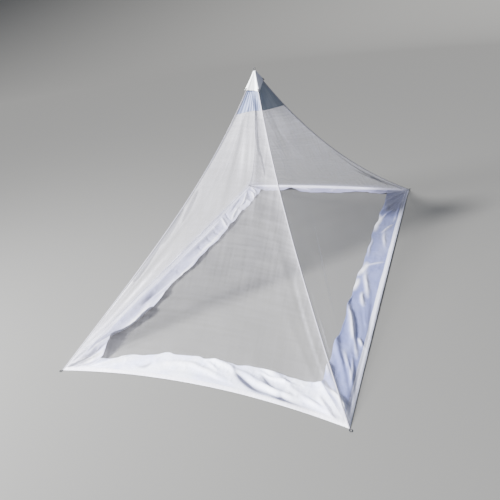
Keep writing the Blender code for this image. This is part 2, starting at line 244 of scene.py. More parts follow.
def edge_at(side, u, column):
    """Fraction of the hips where a side's cloth ends, from that column of CORNERS."""
    first, last = (CORNERS[name][column] for name in SIDES[side][:2])
    return first + (last - first) * u


def outward(points):
    """Outward unit normals of a grid of points whose columns run along the hem."""
    return unit(np.cross(np.gradient(points, axis=1), np.gradient(points, axis=0)))


def spread_at(side, s):
    """Straight distance between a side's two hips at fraction s."""
    return np.linalg.norm(panel(side, 1.0, s) - panel(side, 0.0, s), axis=-1)


def main_folds(side, u, s, spread):
    """Soft folds of the solids: bell-shaped across, each running from its place at the
    hem to its place at the cap edge, and rising and falling as a sine along it."""
    t = s / edge_at(side, u, NET_TOP)
    height = np.zeros_like(u)
    for at_hem, at_cap, start, end, half_width, rise in NET_FOLDS[side]:
        away = (u - (at_hem + (at_cap - at_hem) * t)) * spread
        middle = np.clip((t - start) / (end - start), 0, 1)
        length = np.where(end < 1, np.sin(np.pi * middle), np.sin(np.pi / 2 * middle))
        height += rise * length * np.exp(-(away / half_width) ** 2)
    return height


def fold_room(side, u, s, spread):
    """1 where the net is free to fold, falling to 0 at the hips and below the tip."""
    at_edge = np.clip((np.minimum(u, 1 - u) * spread - FOLD_FREE_EDGE) / FOLD_FADE, 0, 1)
    below_tip = edge_at(side, u, TIP_HEM) - s
    return at_edge * np.clip(below_tip / FOLD_ENDS_BELOW_TIP, 0, 1)


def creases(a, b, rows, last=MM):
    """Listed folds at cloth places a, b. A row in millimetres gives a fold's two
    ends (a, b, a, b), how far it arcs aside at its middle, its half width at either end
    and, in units of last, its height: a bell curve across the fold and a half sine
    along it."""
    height = np.zeros(np.broadcast(a, b).shape)
    for row in rows:
        a_0, b_0, a_1, b_1, arc, width_0, width_1 = (MM * value for value in row[:-1])
        length = math.hypot(a_1 - a_0, b_1 - b_0)
        along_a, along_b = (a_1 - a_0) / length, (b_1 - b_0) / length
        share = np.clip(((a - a_0) * along_a + (b - b_0) * along_b) / length, 0, 1)
        middle = (b - b_0) * along_a - (a - a_0) * along_b - arc * 4 * share * (1 - share)
        half_width = width_0 + (width_1 - width_0) * share
        bell = np.exp(-(middle / half_width) ** 2)
        height += row[-1] * last * np.sin(np.pi * share) * bell
    return height


LATTICE = 64                  # points of the random lattice each way


def crumple(a, b, cell, seed):
    """Gentle unevenness from -1 to 1: seeded random heights on a lattice of that cell,
    joined by cosine steps both ways."""
    lattice = np.random.default_rng(seed).uniform(-1, 1, (LATTICE, LATTICE))
    x, y = a / cell, b / cell
    x_0, y_0 = np.floor(x).astype(int), np.floor(y).astype(int)
    x_step = 0.5 - 0.5 * np.cos(np.pi * (x - x_0))
    y_step = 0.5 - 0.5 * np.cos(np.pi * (y - y_0))
    low, high = (lattice[x_0 % LATTICE, y % LATTICE] * (1 - x_step)
                 + lattice[(x_0 + 1) % LATTICE, y % LATTICE] * x_step
                 for y in (y_0, y_0 + 1))
    return low * (1 - y_step) + high * y_step


def crinkle(a, b, cell, seed):
    """Sharp-crested unevenness from 0 to 1: the ridges where crumple changes sign."""
    return (1 - np.abs(crumple(a, b, cell, seed))) ** 3


# ------------------------------------------------------------ meshes
def grid_quads(rows, wide, closed):
    """Quads between neighbouring points of a grid: the rows and the columns of their
    corners, and their points. closed joins the last column to the first."""
    columns = wide if closed else wide - 1
    row, column = np.meshgrid(np.arange(rows - 1), np.arange(columns), indexing="ij")
    at_row = row[..., None] + np.array([0, 0, 1, 1])
    at_column = column[..., None] + np.array([0, 1, 1, 0])
    return at_row, at_column, (at_row * wide + at_column % wide).reshape(-1, 4)


def grid_mesh(name, points, cloth, closed=False):
    """Mesh of a grid of points and its flat cloth, a grid that has one column more when
    the mesh is closed."""
    at_row, at_column, faces = grid_quads(*points.shape[:2], closed)
    mesh = bpy.data.meshes.new(name)
    mesh.from_pydata(points.reshape(-1, 3).tolist(), [], faces.tolist())
    uv_map = mesh.uv_layers.new(name="cloth")
    uv_map.data.foreach_set("uv", cloth[at_row, at_column].astype(np.float32).ravel())
    mesh.shade_smooth()
    return mesh


def point_values(mesh, name, values):
    """Stores one number for each point of a mesh, for its material to read."""
    layer = mesh.attributes.new(name, "FLOAT", "POINT")
    layer.data.foreach_set("value", values.astype(np.float32).ravel())


def add_object(data):
    """Object at the origin that shows a mesh, a lamp or a camera under its name."""
    obj = bpy.data.objects.new(data.name, data)
    bpy.context.scene.collection.objects.link(obj)
    return obj


def add_piece(mesh, material, replaced=()):
    """Object that rides on the canopy's one body."""
    mesh.materials.append(material)
    obj = add_object(mesh)
    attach(obj, "root")
    if replaced:
        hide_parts(*replaced)
    return obj


def edit_faces(mesh, change):
    """Applies a change to a mesh, and then turns all its faces outwards."""
    edit = bmesh.new()
    edit.from_mesh(mesh)
    change(edit)
    bmesh.ops.recalc_face_normals(edit, faces=edit.faces)
    edit.to_mesh(mesh)
    edit.free()


def run_along(points):
    """Length from the first to each point of a line, or down each column of a grid."""
    steps = np.linalg.norm(np.diff(points, axis=0), axis=-1)
    return np.concatenate([[0 * steps[0]], np.cumsum(steps, axis=0)])


def thicken(obj, thickness):
    """Solid wall on the side that the faces look at."""
    solidify = obj.modifiers.new("thickness", "SOLIDIFY")
    solidify.thickness = thickness
    solidify.offset = 1.0
    solidify.use_even_offset = False


# ------------------------------------------------------------ materials
COLOURED = ("Color", "Shade")           # names of sockets that hold colours
# Noises of the cloths. name: scale along the hem, across it and outwards, and detail.
NOISES = {
    "upright_streaks": ((95.0, 3.0, 1.0), 2.0), "level_streaks": ((2.5, 70.0, 1.0), 2.0),
    "net_clouds": ((6.0, 6.0, 1.0), 3.0), "slubs": ((260.0, 8.0, 1.0), 2.0),
    "cloth_clouds": ((9.0, 9.0, 1.0), 4.0), "rumples": ((48.0, 48.0, 1.0), 3.0),
    "specks": ((160.0, 160.0, 1.0), 2.0),
}
THREAD_COVER = (0.6, 1.4)               # the net's cover, times this off and on a thread
GATHER_COVER = 0.62                     # cover that fully gathered net adds
NET_STREAKS = 1.10                      # strength of the net's uneven streaks
NET_TINTS = ((0.80, 0.79, 0.91), (0.90, 0.89, 0.98))    # of its thinner, denser clouds
NET_IN_SHADE = (0.035, 0.037, 0.055)    # colour of a pleat in its own shade
SHADE_RANGE = (0.02, 0.25)              # shade starts and is full at this density
SHADE_SHARE = 0.85                      # share of that colour in full shade
NET_THROUGH = (0.93, 0.93, 0.97)        # colour of the light that comes through
CAP_THROUGH = (0.50, 0.62, 0.76)
BAND_THROUGH = (0.90, 0.91, 0.98)
PRESSED_CELLS = 24.0                    # scale of the cells between pressed creases
SLUB_SHADE = 0.22                       # share of the shading that thick threads show
RUMPLE_SHINE = (-0.06, 0.08)            # what the rumples add to the roughness
WEAVE_RELIEF, PRESSED_RELIEF = 0.10, 0.12    # height of each against the rumples
SOIL_COLOUR = (0.34, 0.32, 0.30)
SOIL_SPECKS = (0.68, 0.74)              # a speck starts and is full at this noise
HEM_COLOUR = (0.80, 0.81, 0.90)         # the doubled hem shows whiter, mostly free of the painted side shade, by this share of that colour and the crests of the pressed folds take a painted highlight
HEM_SHARE = 0.75                        # by this share of that colour
CREST_PAINTED_HIGHLIGHT = (0.93, 0.93, 0.97)       # and so do the crests of the pressed folds
# painted shade in the hollows of the bands' folds, and over the tip's shaded sides
HOLLOW_PAINTED_SHADE = (0.030, 0.034, 0.070)
TIP_HOLLOW_PAINTED_SHADE = (0.080, 0.100, 0.250)
# side: mean cover of the threads, share of light that comes through
NET_SHEERNESS = {"front": (0.022, 0.01), "right": (0.075, 0.02), "back": (0.28, 0.05),
                 "left": (0.30, 0.12)}
# side: colour of the cap cloth, and of its fainter shading, with painted shade on the
# right and back
CAP_COLOURS_WITH_PAINTED_SIDE_SHADE = {
    "front": ((0.215, 0.255, 0.410), (0.140, 0.170, 0.300)),
    "right": ((0.120, 0.142, 0.185), (0.085, 0.105, 0.145)),
    "back": ((0.120, 0.142, 0.185), (0.085, 0.105, 0.145)),
    "left": ((0.280, 0.330, 0.440), (0.200, 0.240, 0.340)),
}
# side: colour of the band's single cloth, and of its fainter shading, with painted shade
# that is darkest on the right
BAND_COLOURS_WITH_PAINTED_SIDE_SHADE = {
    "front": ((0.860, 0.890, 0.990), (0.640, 0.680, 0.940)),
    "right": ((0.165, 0.192, 0.380), (0.110, 0.132, 0.310)),
    "back": ((0.360, 0.360, 0.560), (0.280, 0.280, 0.470)),
    "left": ((0.460, 0.470, 0.640), (0.360, 0.370, 0.560)),
}
# name: colour, darker colour, scale of its fibres, roughness
THREADS = {
    "thread": ((0.800, 0.800, 0.860), (0.550, 0.550, 0.620), 900.0, 0.55),
    "tape_thread": ((0.360, 0.350, 0.410), (0.240, 0.240, 0.290), 900.0, 0.55),
    "tack_thread": ((0.030, 0.030, 0.036), (0.012, 0.012, 0.015), 900.0, 0.60),
    "loop_cord": ((0.030, 0.032, 0.040), (0.012, 0.013, 0.017), 700.0, 0.60),
}


def give(tree, sockets, values):
    """Sets sockets to values, or links other sockets to them. Colours have three parts."""
    for label, value in values.items():
        socket = sockets[label]
        if isinstance(value, bpy.types.NodeSocket):
            tree.links.new(value, socket)
        else:
            socket.default_value = (*value, 1.0) if socket.type == "RGBA" else value


def add_node(tree, kind, inputs, **settings):
    """Node with its settings and what its inputs are given."""
    node = tree.nodes.new(kind)
    for key, value in settings.items():
        setattr(node, key, value)
    give(tree, node.inputs, inputs)
    return node


def new_group(name, inputs, outputs):
    """Shader node group whose inputs are named with a number, a colour, or None for a
    vector. Gives the group, the sockets that it is given and the ones that it fills."""
    group = bpy.data.node_groups.new(name, "ShaderNodeTree")
    for label, value in inputs.items():
        kind = "Vector" if value is None else "Color" if label in COLOURED else "Float"
        socket = group.interface.new_socket(label, in_out="INPUT",
                                            socket_type="NodeSocket" + kind)
        if value is not None:
            socket.default_value = (*value, 1.0) if kind == "Color" else value
    for label in outputs:
        kind = "Color" if label in COLOURED else "Float"
        group.interface.new_socket(label, in_out="OUTPUT",
                                   socket_type="NodeSocket" + kind)
    given = group.nodes.new("NodeGroupInput").outputs
    return group, given, group.nodes.new("NodeGroupOutput").inputs


def math_node(tree, operation, first, second=0.0, clamp=False):
    return add_node(tree, "ShaderNodeMath", {0: first, 1: second}, operation=operation,
                    use_clamp=clamp).outputs[0]


def plus(tree, first, *others):
    for other in others:
        first = math_node(tree, "ADD", first, other)
    return first


def times(tree, first, *others):
    for other in others:
        first = math_node(tree, "MULTIPLY", first, other)
    return first


def remap(tree, value, low, high, to_low, to_high):
    """value from low..high taken to to_low..to_high, smoothly and held at the ends."""
    return add_node(tree, "ShaderNodeMapRange",
                    {"Value": value, "From Min": low, "From Max": high,
                     "To Min": to_low, "To Max": to_high},
                    interpolation_type="SMOOTHSTEP").outputs["Result"]


def blend_colours(tree, share, first, second):
    """Colour between first and second; a Mix node has its colours in inputs 6 and 7."""
    return add_node(tree, "ShaderNodeMix", {0: share, 6: first, 7: second},
                    data_type="RGBA").outputs[2]


def noise(tree, vector, name):
    """One of the cloths' noises, from 0 to 1."""
    scale, detail = NOISES[name]
    spread = add_node(tree, "ShaderNodeMapping", {"Vector": vector, "Scale": scale})
    return add_node(tree, "ShaderNodeTexNoise",
                    {"Vector": spread.outputs[0], "Scale": 1.0,
                     "Detail": detail}).outputs["Fac"]


def thread_ridges(tree, vector, pitch):
    """Ridges one pitch apart, across and along the cloth: 1 on a thread, 0 between."""
    place = add_node(tree, "ShaderNodeSeparateXYZ", {0: vector}).outputs
    turns = [times(tree, math_node(tree, "DIVIDE", way, pitch), math.tau)
             for way in place[:2]]
    return [remap(tree, math_node(tree, "COSINE", turn), -1.0, 1.0, 0.0, 1.0)
            for turn in turns]


def make_net_group():
    """Knitted net: how much of the surface the threads cover, its tint and relief."""
    group, given, result = new_group(
        "net_mesh", {"Vector": None, "Pitch": 0.0022, "Cover": 0.2, "Gather": 0.0,
                     "In Shade": 0.0, "Unevenness": 0.4}, ["Cover", "Color", "Height"])
    vector = given["Vector"]
    threads = math_node(group, "MAXIMUM", *thread_ridges(group, vector, given["Pitch"]))
    upright, level, cloud = (noise(group, vector, name) for name in
                             ("upright_streaks", "level_streaks", "net_clouds"))
    streak = plus(group, upright, level, cloud, -1.5)    # 1.5 is the sum's mean
    uneven = plus(group, times(group, streak, given["Unevenness"]), 1.0)
    drawn = times(group, given["Gather"], GATHER_COVER)
    cover = times(group, plus(group, given["Cover"], drawn), uneven)
    cover = math_node(group, "MULTIPLY", cover,
                      remap(group, threads, 0.0, 1.0, *THREAD_COVER), clamp=True)
    tint = blend_colours(group, remap(group, cloud, 0.3, 0.7, 0.0, 1.0), *NET_TINTS)
    in_shade = remap(group, given["In Shade"], *SHADE_RANGE, 0.0, SHADE_SHARE)
    tint = blend_colours(group, in_shade, tint, NET_IN_SHADE)
    give(group, result, {"Cover": cover, "Color": tint, "Height": threads})
    return group


def make_weave_group():
    """Plain weave: relief of crossing threads, pressed creases, tone and shine."""
    group, given, result = new_group(
        "plain_weave", {"Vector": None, "Pitch": 0.0012, "Color": (0.9, 0.9, 0.9),
                        "Shade": (0.8, 0.8, 0.85), "Roughness": 0.45, "Crease": 1.0,
                        "Soil": 0.0}, ["Color", "Roughness", "Height"])
    vector = given["Vector"]
    over = times(group, *thread_ridges(group, vector, given["Pitch"]))
    cells = add_node(group, "ShaderNodeTexVoronoi",
                     {"Vector": vector, "Scale": PRESSED_CELLS},
                     feature="DISTANCE_TO_EDGE")
    pressed = remap(group, cells.outputs["Distance"], 0.0, 0.10, 1.0, 0.0)
    slub, cloud, rumple, specks = (noise(group, vector, name) for name in
                                   ("slubs", "cloth_clouds", "rumples", "specks"))
    tone = blend_colours(group, remap(group, cloud, 0.32, 0.68, 0.0, 1.0),
                         given["Shade"], given["Color"])
    tone = blend_colours(group, remap(group, slub, 0.35, 0.65, 0.0, SLUB_SHADE), tone,
                         given["Shade"])
    soiled = times(group, remap(group, specks, *SOIL_SPECKS, 0.0, 1.0), given["Soil"])
    tone = blend_colours(group, soiled, tone, SOIL_COLOUR)
    rough = plus(group, given["Roughness"],
                 remap(group, rumple, 0.3, 0.7, *RUMPLE_SHINE))
    relief = plus(group, times(group, rumple, given["Crease"]),
                  times(group, over, WEAVE_RELIEF), times(group, pressed, PRESSED_RELIEF))
    give(group, result, {"Color": tone, "Roughness": rough, "Height": relief})
    return group


def make_thread_group():
    """Spun thread or cord: its fibres lie lighter and darker."""
    group, given, result = new_group(
        "plied_thread", {"Vector": None, "Scale": 900.0, "Color": (0.9, 0.9, 0.9),
                         "Shade": (0.6, 0.6, 0.65)}, ["Color", "Height"])
    fibres = add_node(group, "ShaderNodeTexNoise",
                      {"Vector": given["Vector"], "Scale": given["Scale"],
                       "Detail": 3.0})
    share = remap(group, fibres.outputs["Fac"], 0.35, 0.65, 0.0, 1.0)
    tone = blend_colours(group, share, given["Shade"], given["Color"])
    give(group, result, {"Color": tone, "Height": share})
    return group


GROUPS = {"net": make_net_group(), "weave": make_weave_group(),
          "thread": make_thread_group()}


def new_material(name):
    """Material, its node tree and the inputs of its surface shader."""
    material = bpy.data.materials.new(name)
    material.use_nodes = True
    tree = material.node_tree
    return material, tree, tree.nodes["Principled BSDF"].inputs


def cloth_place(tree):
    """The place on the flat cloth, from the piece's own UV map."""
    return add_node(tree, "ShaderNodeUVMap", {}, uv_map="cloth").outputs["UV"]


def body_place(tree):
    return add_node(tree, "ShaderNodeTexCoord", {}).outputs["Object"]


def stored(tree, name):
    """The number that point_values stored under a name."""
    return add_node(tree, "ShaderNodeAttribute", {}, attribute_name=name).outputs["Fac"]


def raised(tree, height, strength, distance):
    return add_node(tree, "ShaderNodeBump", {"Height": height, "Strength": strength,
                                             "Distance": distance}).outputs["Normal"]


def let_light_through(tree, share, colour):
    """Mixes a share of light that comes through the cloth from behind it."""
    through = add_node(tree, "ShaderNodeBsdfTranslucent", {"Color": colour}).outputs[0]
    shader = tree.nodes["Principled BSDF"].outputs[0]
    mix = add_node(tree, "ShaderNodeMixShader", {0: share, 1: shader, 2: through})
    tree.links.new(mix.outputs[0], tree.nodes["Material Output"].inputs["Surface"])


def net_material(side, cover, through):
    """Sheer white net of one side."""
    material, tree, inputs = new_material("net_" + side)
    net = add_node(tree, "ShaderNodeGroup", {
        "Vector": cloth_place(tree), "Cover": cover, "Gather": stored(tree, "gather"),
        "In Shade": stored(tree, "in_shade"), "Unevenness": NET_STREAKS},
        node_tree=GROUPS["net"]).outputs
    give(tree, inputs, {"Base Color": net["Color"], "Alpha": net["Cover"],
                        "Roughness": 0.75, "Specular IOR Level": 0.2,
                        "Normal": raised(tree, net["Height"], 0.3, 0.0003)})
    let_light_through(tree, through, NET_THROUGH)
    return material


def cloth_material(name, weave, relief, sheen, coat, through=None, place=cloth_place):
    """Woven cloth: what its weave is given, strength and depth of its relief, its sheen
    and coat, share and colour of the light that comes through, and the coordinates."""
    material, tree, inputs = new_material(name)
    cloth = add_node(tree, "ShaderNodeGroup", {"Vector": place(tree), **weave},
                     node_tree=GROUPS["weave"]).outputs
    give(tree, inputs, {"Base Color": cloth["Color"], "Roughness": cloth["Roughness"],
                        "Sheen Weight": sheen, "Coat Weight": coat,
                        "Coat Roughness": 0.35,
                        "Normal": raised(tree, cloth["Height"], *relief)})
    if through:
        let_light_through(tree, *through)
    return material


def toned(material, blends):
    """The material, its base colour blended towards others, each by its share."""
    tree = material.node_tree
    base = tree.nodes["Principled BSDF"].inputs["Base Color"]
    for share, colour in blends:
        tree.links.new(blend_colours(tree, share, base.links[0].from_socket, colour),
                       base)
    return material


def cap_material(side, colour, shade):
    """Thin cloth of one side's cap, its colour holding that side's painted shade."""
    weave = {"Color": colour, "Shade": shade, "Roughness": 0.50, "Pitch": 0.0009,
             "Crease": 0.5}
    return cloth_material("cap_" + side, weave, (0.35, 0.0006), 0.15, 0.05,
                          (0.10, CAP_THROUGH))


def band_material(side, colour, shade):
    """Smooth cloth of a ground band, whiter over its doubled hem, with painted
    highlights on its fold crests and painted shade in its hollows and listed stretches.
    """
    weave = {"Color": colour, "Shade": shade, "Roughness": 0.40, "Pitch": 0.0011,
             "Crease": 1.0, "Soil": 0.5}
    material = cloth_material("band_" + side, weave, (0.55, 0.0022), 0.05, 0.08,
                              (0.05, BAND_THROUGH))
    tree = material.node_tree
    across = add_node(tree, "ShaderNodeSeparateXYZ", {0: cloth_place(tree)}).outputs[1]
    on_hem = remap(tree, across, FACING - MM, FACING + MM, HEM_SHARE, 0.0)
    # blends in the hem, the painted highlight of the folds' crests and the painted shade
    return toned(material, [(on_hem, HEM_COLOUR), (stored(tree, "painted_highlight_share"), CREST_PAINTED_HIGHLIGHT),
                            (stored(tree, "painted_shade_share"), HOLLOW_PAINTED_SHADE)])


def tip_material():
    """White cloth of the tip, with painted greyer blue shade over its right and back
    sides, less on the left, and in a line along the front crease.
    """
    weave = {"Color": (0.94, 0.95, 0.95), "Shade": (0.84, 0.86, 0.90),
             "Roughness": 0.42, "Pitch": 0.0010, "Crease": 0.5}
    material = cloth_material("tip_cloth", weave, (0.35, 0.0006), 0.2, 0.10)
    return toned(material, [(stored(material.node_tree, "painted_shade_share"), TIP_HOLLOW_PAINTED_SHADE)])


def tape_material():
    """Matt cloth of the seam tapes."""
    weave = {"Color": (0.30, 0.29, 0.34), "Shade": (0.22, 0.22, 0.27),
             "Roughness": 0.60, "Pitch": 0.0010, "Crease": 0.3}
    return cloth_material("seam_tape", weave, (0.5, 0.0004), 0.3, 0.0, place=body_place)


def thread_material(name, colour, shade, scale, roughness):
    """Sewing thread or braided cord."""
    material, tree, inputs = new_material(name)
    thread = add_node(tree, "ShaderNodeGroup", {
        "Vector": body_place(tree), "Color": colour, "Shade": shade, "Scale": scale},
        node_tree=GROUPS["thread"]).outputs
    give(tree, inputs, {"Base Color": thread["Color"], "Roughness": roughness,
                        "Normal": raised(tree, thread["Height"], 0.4, 0.0002)})
    return material


NETS = {side: net_material(side, *values) for side, values in NET_SHEERNESS.items()}
# the caps' colours per side carry painted shade
CAPS = {side: cap_material(side, *colours) for side, colours in CAP_COLOURS_WITH_PAINTED_SIDE_SHADE.items()}
# the bands' colours per side carry painted shade
BANDS = {side: band_material(side, *colours) for side, colours in BAND_COLOURS_WITH_PAINTED_SIDE_SHADE.items()}
MATERIALS = {name: thread_material(name, *values) for name, values in THREADS.items()}
MATERIALS["tip_cloth"] = tip_material()
MATERIALS["seam_tape"] = tape_material()


# ------------------------------------------------------------ net and cap
# Finer folds of the net, in mm. Each row: start and end on the flat cloth (a, b, a, b),
# arc aside, half width at the start and at the end, height.
FINE_NET_FOLDS = {
    "front": [
        (-560, 20, -100, 950, 20, 8, 26, 6), (-550, 0, -220, 620, -20, 7, 22, 5),
        (560, 10, 120, 860, 20, 8, 24, 5), (550, 0, 260, 420, 10, 6, 18, 3.5),
        (-100, 550, -30, 1280, 4, 18, 7, 4), (100, 600, 30, 1280, 4, 16, 6, 3.5),
    ],
    "right": [
        (-1020, 30, -300, 620, 30, 10, 30, 5), (1050, 10, 320, 720, 30, 8, 26, 6),
        (1050, 10, 520, 500, -20, 6, 20, 5), (-160, 500, -40, 1020, 10, 20, 8, 4),
        (160, 500, 40, 1020, 10, 20, 8, 4),
    ],
    "back": [
        (-560, 20, -180, 700, 20, 8, 24, 4.5), (560, 20, 180, 700, -20, 8, 24, 4.5),
        (20, 600, 0, 1260, 5, 18, 7, 4),
    ],
    "left": [
        (1040, 20, 300, 700, 40, 10, 30, 6), (1020, 10, 600, 400, 20, 7, 20, 5),
        (-1040, 20, -360, 620, -30, 9, 26, 5), (-100, 500, -30, 1020, 6, 18, 7, 4),
        (120, 500, 30, 1020, 6, 18, 7, 4),
    ],
}
# Narrow pleats where the net lies on itself. Rows as above, but the last number says how
# dense the threads stand: above 0 a pleat in the light, below 0 one in its own shade.
NET_PLEATS = {
    "front": [
        (-536, 118, -411, 307, -8, 4, 7, 0.45), (-430, 270, -302, 466, 3, 7, 8, 0.35),
        (-417, 278, -244, 585, 4, 6, 8, 0.22), (-582, 23, -404, 259, -10, 6, 7, -0.55),
        (-589, 15, -438, 89, -7, 5, 6, -1.00), (20, 1330, 68, 1050, -8, 5, 6, -0.90),
        (60, 1110, 112, 959, -2, 4, 6, -0.40), (-300, 660, -358, 490, 2, 9, 11, -1.30),
        (-235, 800, -305, 590, 2, 8, 10, -0.80), (-185, 895, -238, 690, 1, 7, 8, -0.60),
        (-340, 520, -392, 405, -1, 9, 10, -0.90), (-28, 1280, -5, 880, -2, 8, 14, 0.16),
        (52, 1290, 135, 1046, 0, 6, 6, 0.20), (2, 1270, 33, 907, -4, 6, 10, 0.16),
        (560, 30, 300, 560, 20, 5, 10, 0.18),
    ],
    "right": [
        (380, 690, 860, 150, -15, 7, 7, -0.90), (480, 510, 880, 150, -7, 7, 6, -0.70),
        (585, 440, 1040, 20, -6, 8, 7, -0.85), (200, 920, 510, 555, 1, 6, 5.5, 0.22),
        (131, 989, 84, 770, 9, 8, 12, 0.12), (-180, 555, -740, 160, 2, 5, 5.5, 0.32),
        (-16, 1037, -304, 580, 10, 6, 8, 0.16), (-1060, 20, -640, 360, 12, 5, 8, 0.22),
    ],
    "back": [
        (20, 1250, -60, 700, 4, 6, 10, 0.15), (-560, 20, -260, 460, 14, 5, 9, 0.20),
        (560, 20, 240, 520, -14, 5, 9, 0.20),
    ],
    "left": [
        (660, 300, 360, 710, -6, 15, 12, -1.10), (720, 220, 540, 450, 4, 14, 12, -0.80),
        (440, 580, 300, 800, 4, 11, 10, -0.70), (1030, 30, 560, 420, 20, 6, 12, 0.30),
        (1020, 20, 740, 200, 12, 6, 10, 0.25), (20, 1020, 180, 520, 6, 7, 12, 0.16),
        (-40, 1020, -160, 560, 6, 7, 12, 0.16), (-1030, 30, -560, 420, -14, 6, 12, 0.18),
    ],
}
NET_UNEVENNESS = [(0.150, 0.0020), (0.060, 0.0008)]    # lattice cell, height
SEEDS = {"front": 11, "right": 23, "back": 37, "left": 41}
SLANT_POINTS = 41             # points up the line whose length gives a side's height


def slant(side):
    """Height of a side's cloth from its hem to the top, up its middle."""
    line = panel(side, 0.5, np.linspace(0, 1, SLANT_POINTS))
    return np.linalg.norm(np.diff(line, axis=0), axis=-1).sum()


def trim_at(side, name, start, s, distance):
    """Share of a side that lies within a distance of its hip, measured square to it."""
    step = STEP if start == 0 else -STEP
    tangent = unit(hip(name, s + STEP) - hip(name, s - STEP))
    across = (panel(side, start + step, s) - panel(side, start, s)) / STEP
    return distance / np.linalg.norm(np.cross(tangent, across), axis=-1)


def side_surface(side, grid, low, high, distance):
    """Folded surface of a side between fractions low(u) and high(u) of the hips. Gives
    the points, their outward normals, u, s and the flat cloth's places."""
    base_u = np.linspace(0, 1, grid[1] + 1)
    share = np.linspace(0, 1, grid[0] + 1)[:, None]
    s = low(base_u) + share * (high(base_u) - low(base_u))
    first, last = SIDES[side][:2]
    trim_first = trim_at(side, first, 0.0, s, distance)
    trim_last = trim_at(side, last, 1.0, s, distance)
    u = trim_first + base_u * (1 - trim_first - trim_last)
    spread = spread_at(side, s)
    a, b = (u - 0.5) * spread, s * slant(side)
    room = fold_room(side, u, s, spread)
    height = main_folds(side, u, s, spread) + creases(a, b, FINE_NET_FOLDS[side])
    height += sum(size * crumple(a, b, cell, SEEDS[side]) for cell, size in NET_UNEVENNESS)
    points = panel(side, u, s)
    points = points + (height * room)[..., None] * outward(points)
    return points, outward(points), u, s, np.stack([a, b], axis=-1)


# How much the net is drawn together at its edges, and how near to them.
GATHER_REACH = 0.05           # near a ground corner, in full
GATHER_AT_HIP = (0.16, 0.020)
GATHER_AT_SEAM = 0.8          # in its doubled seam along the hem
HEM_SEAM, SEAM_EDGE = 0.011, 0.002    # height of that seam, and where it thins out
GATHER_AT_TOP = {"front": 0.24, "right": 0.12, "back": 0.08, "left": 0.40}


def gathering(side, u, s, cloth):
    """How much the net is drawn together, 0 to 1: most in the ground corners, along the
    hips and in the seam at the hem."""
    spread = spread_at(side, s)
    from_hip = np.minimum(u, 1 - u) * spread
    from_corner = np.hypot(from_hip, cloth[..., 1])
    corners = np.exp(-from_corner / GATHER_REACH)
    hips = GATHER_AT_HIP[0] * np.exp(-from_hip / GATHER_AT_HIP[1])
    seam = GATHER_AT_SEAM * np.clip((HEM_SEAM - cloth[..., 1]) / SEAM_EDGE, 0, 1)
    return np.clip(corners + hips + seam + GATHER_AT_TOP[side] * s ** 2, 0, 1)


def add_net(side):
    """Net panel from the hem to just under the cap cloth's lower edge."""
    points, normals, u, s, cloth = side_surface(
        side, NET_GRID[side], lambda u: 0 * u, lambda u: edge_at(side, u, NET_TOP),
        NET_UNDER_TAPE)
    points = points + NET_SINK * normals
    points[..., 2] = np.maximum(points[..., 2], NET_SINK)
    pleats = creases(cloth[..., 0], cloth[..., 1], NET_PLEATS[side], 1)
    mesh = grid_mesh("net_panel_" + side, points, cloth)
    point_values(mesh, "gather", gathering(side, u, s, cloth) + np.abs(pleats))
    point_values(mesh, "in_shade", np.maximum(-pleats, 0))
    return add_piece(mesh, NETS[side], ["net_" + side])


CAP_PLEATS = {"front": (9, 0.0012), "right": (7, 0.0008), "back": (7, 0.0008),
              "left": (9, 0.0010)}    # pleats across a side, their height
CAP_SWAY = (1.3, 5, 2)        # they stand unevenly: amplitude, rate and phase of a sine
CAP_PLEAT_EDGE = 1 / 12       # share of the side over which they rise from a hip


def add_cap(side):
    """Cap cloth with upright pleats, lapped over the net and running up into the tip."""
    points, normals, u, _, cloth = side_surface(
        side, CAP_GRID, lambda u: edge_at(side, u, NET_TOP) - CAP_OVERLAP,
        lambda u: edge_at(side, u, TIP_HEM) + CAP_IN_TIP, NET_UNDER_TAPE)
    count, rise = CAP_PLEATS[side]
    sway, rate, phase = CAP_SWAY
    pleat = 0.5 + 0.5 * np.cos(2 * np.pi * count * u + sway * np.sin(rate * u + phase))
    edge = np.clip(np.minimum(u, 1 - u) / CAP_PLEAT_EDGE, 0, 1)
    points = points + (CAP_PROUD + rise * pleat * edge)[..., None] * normals
    mesh = grid_mesh("cap_cloth_" + side, points, cloth)
    return add_piece(mesh, CAPS[side], ["cap_band_" + side])


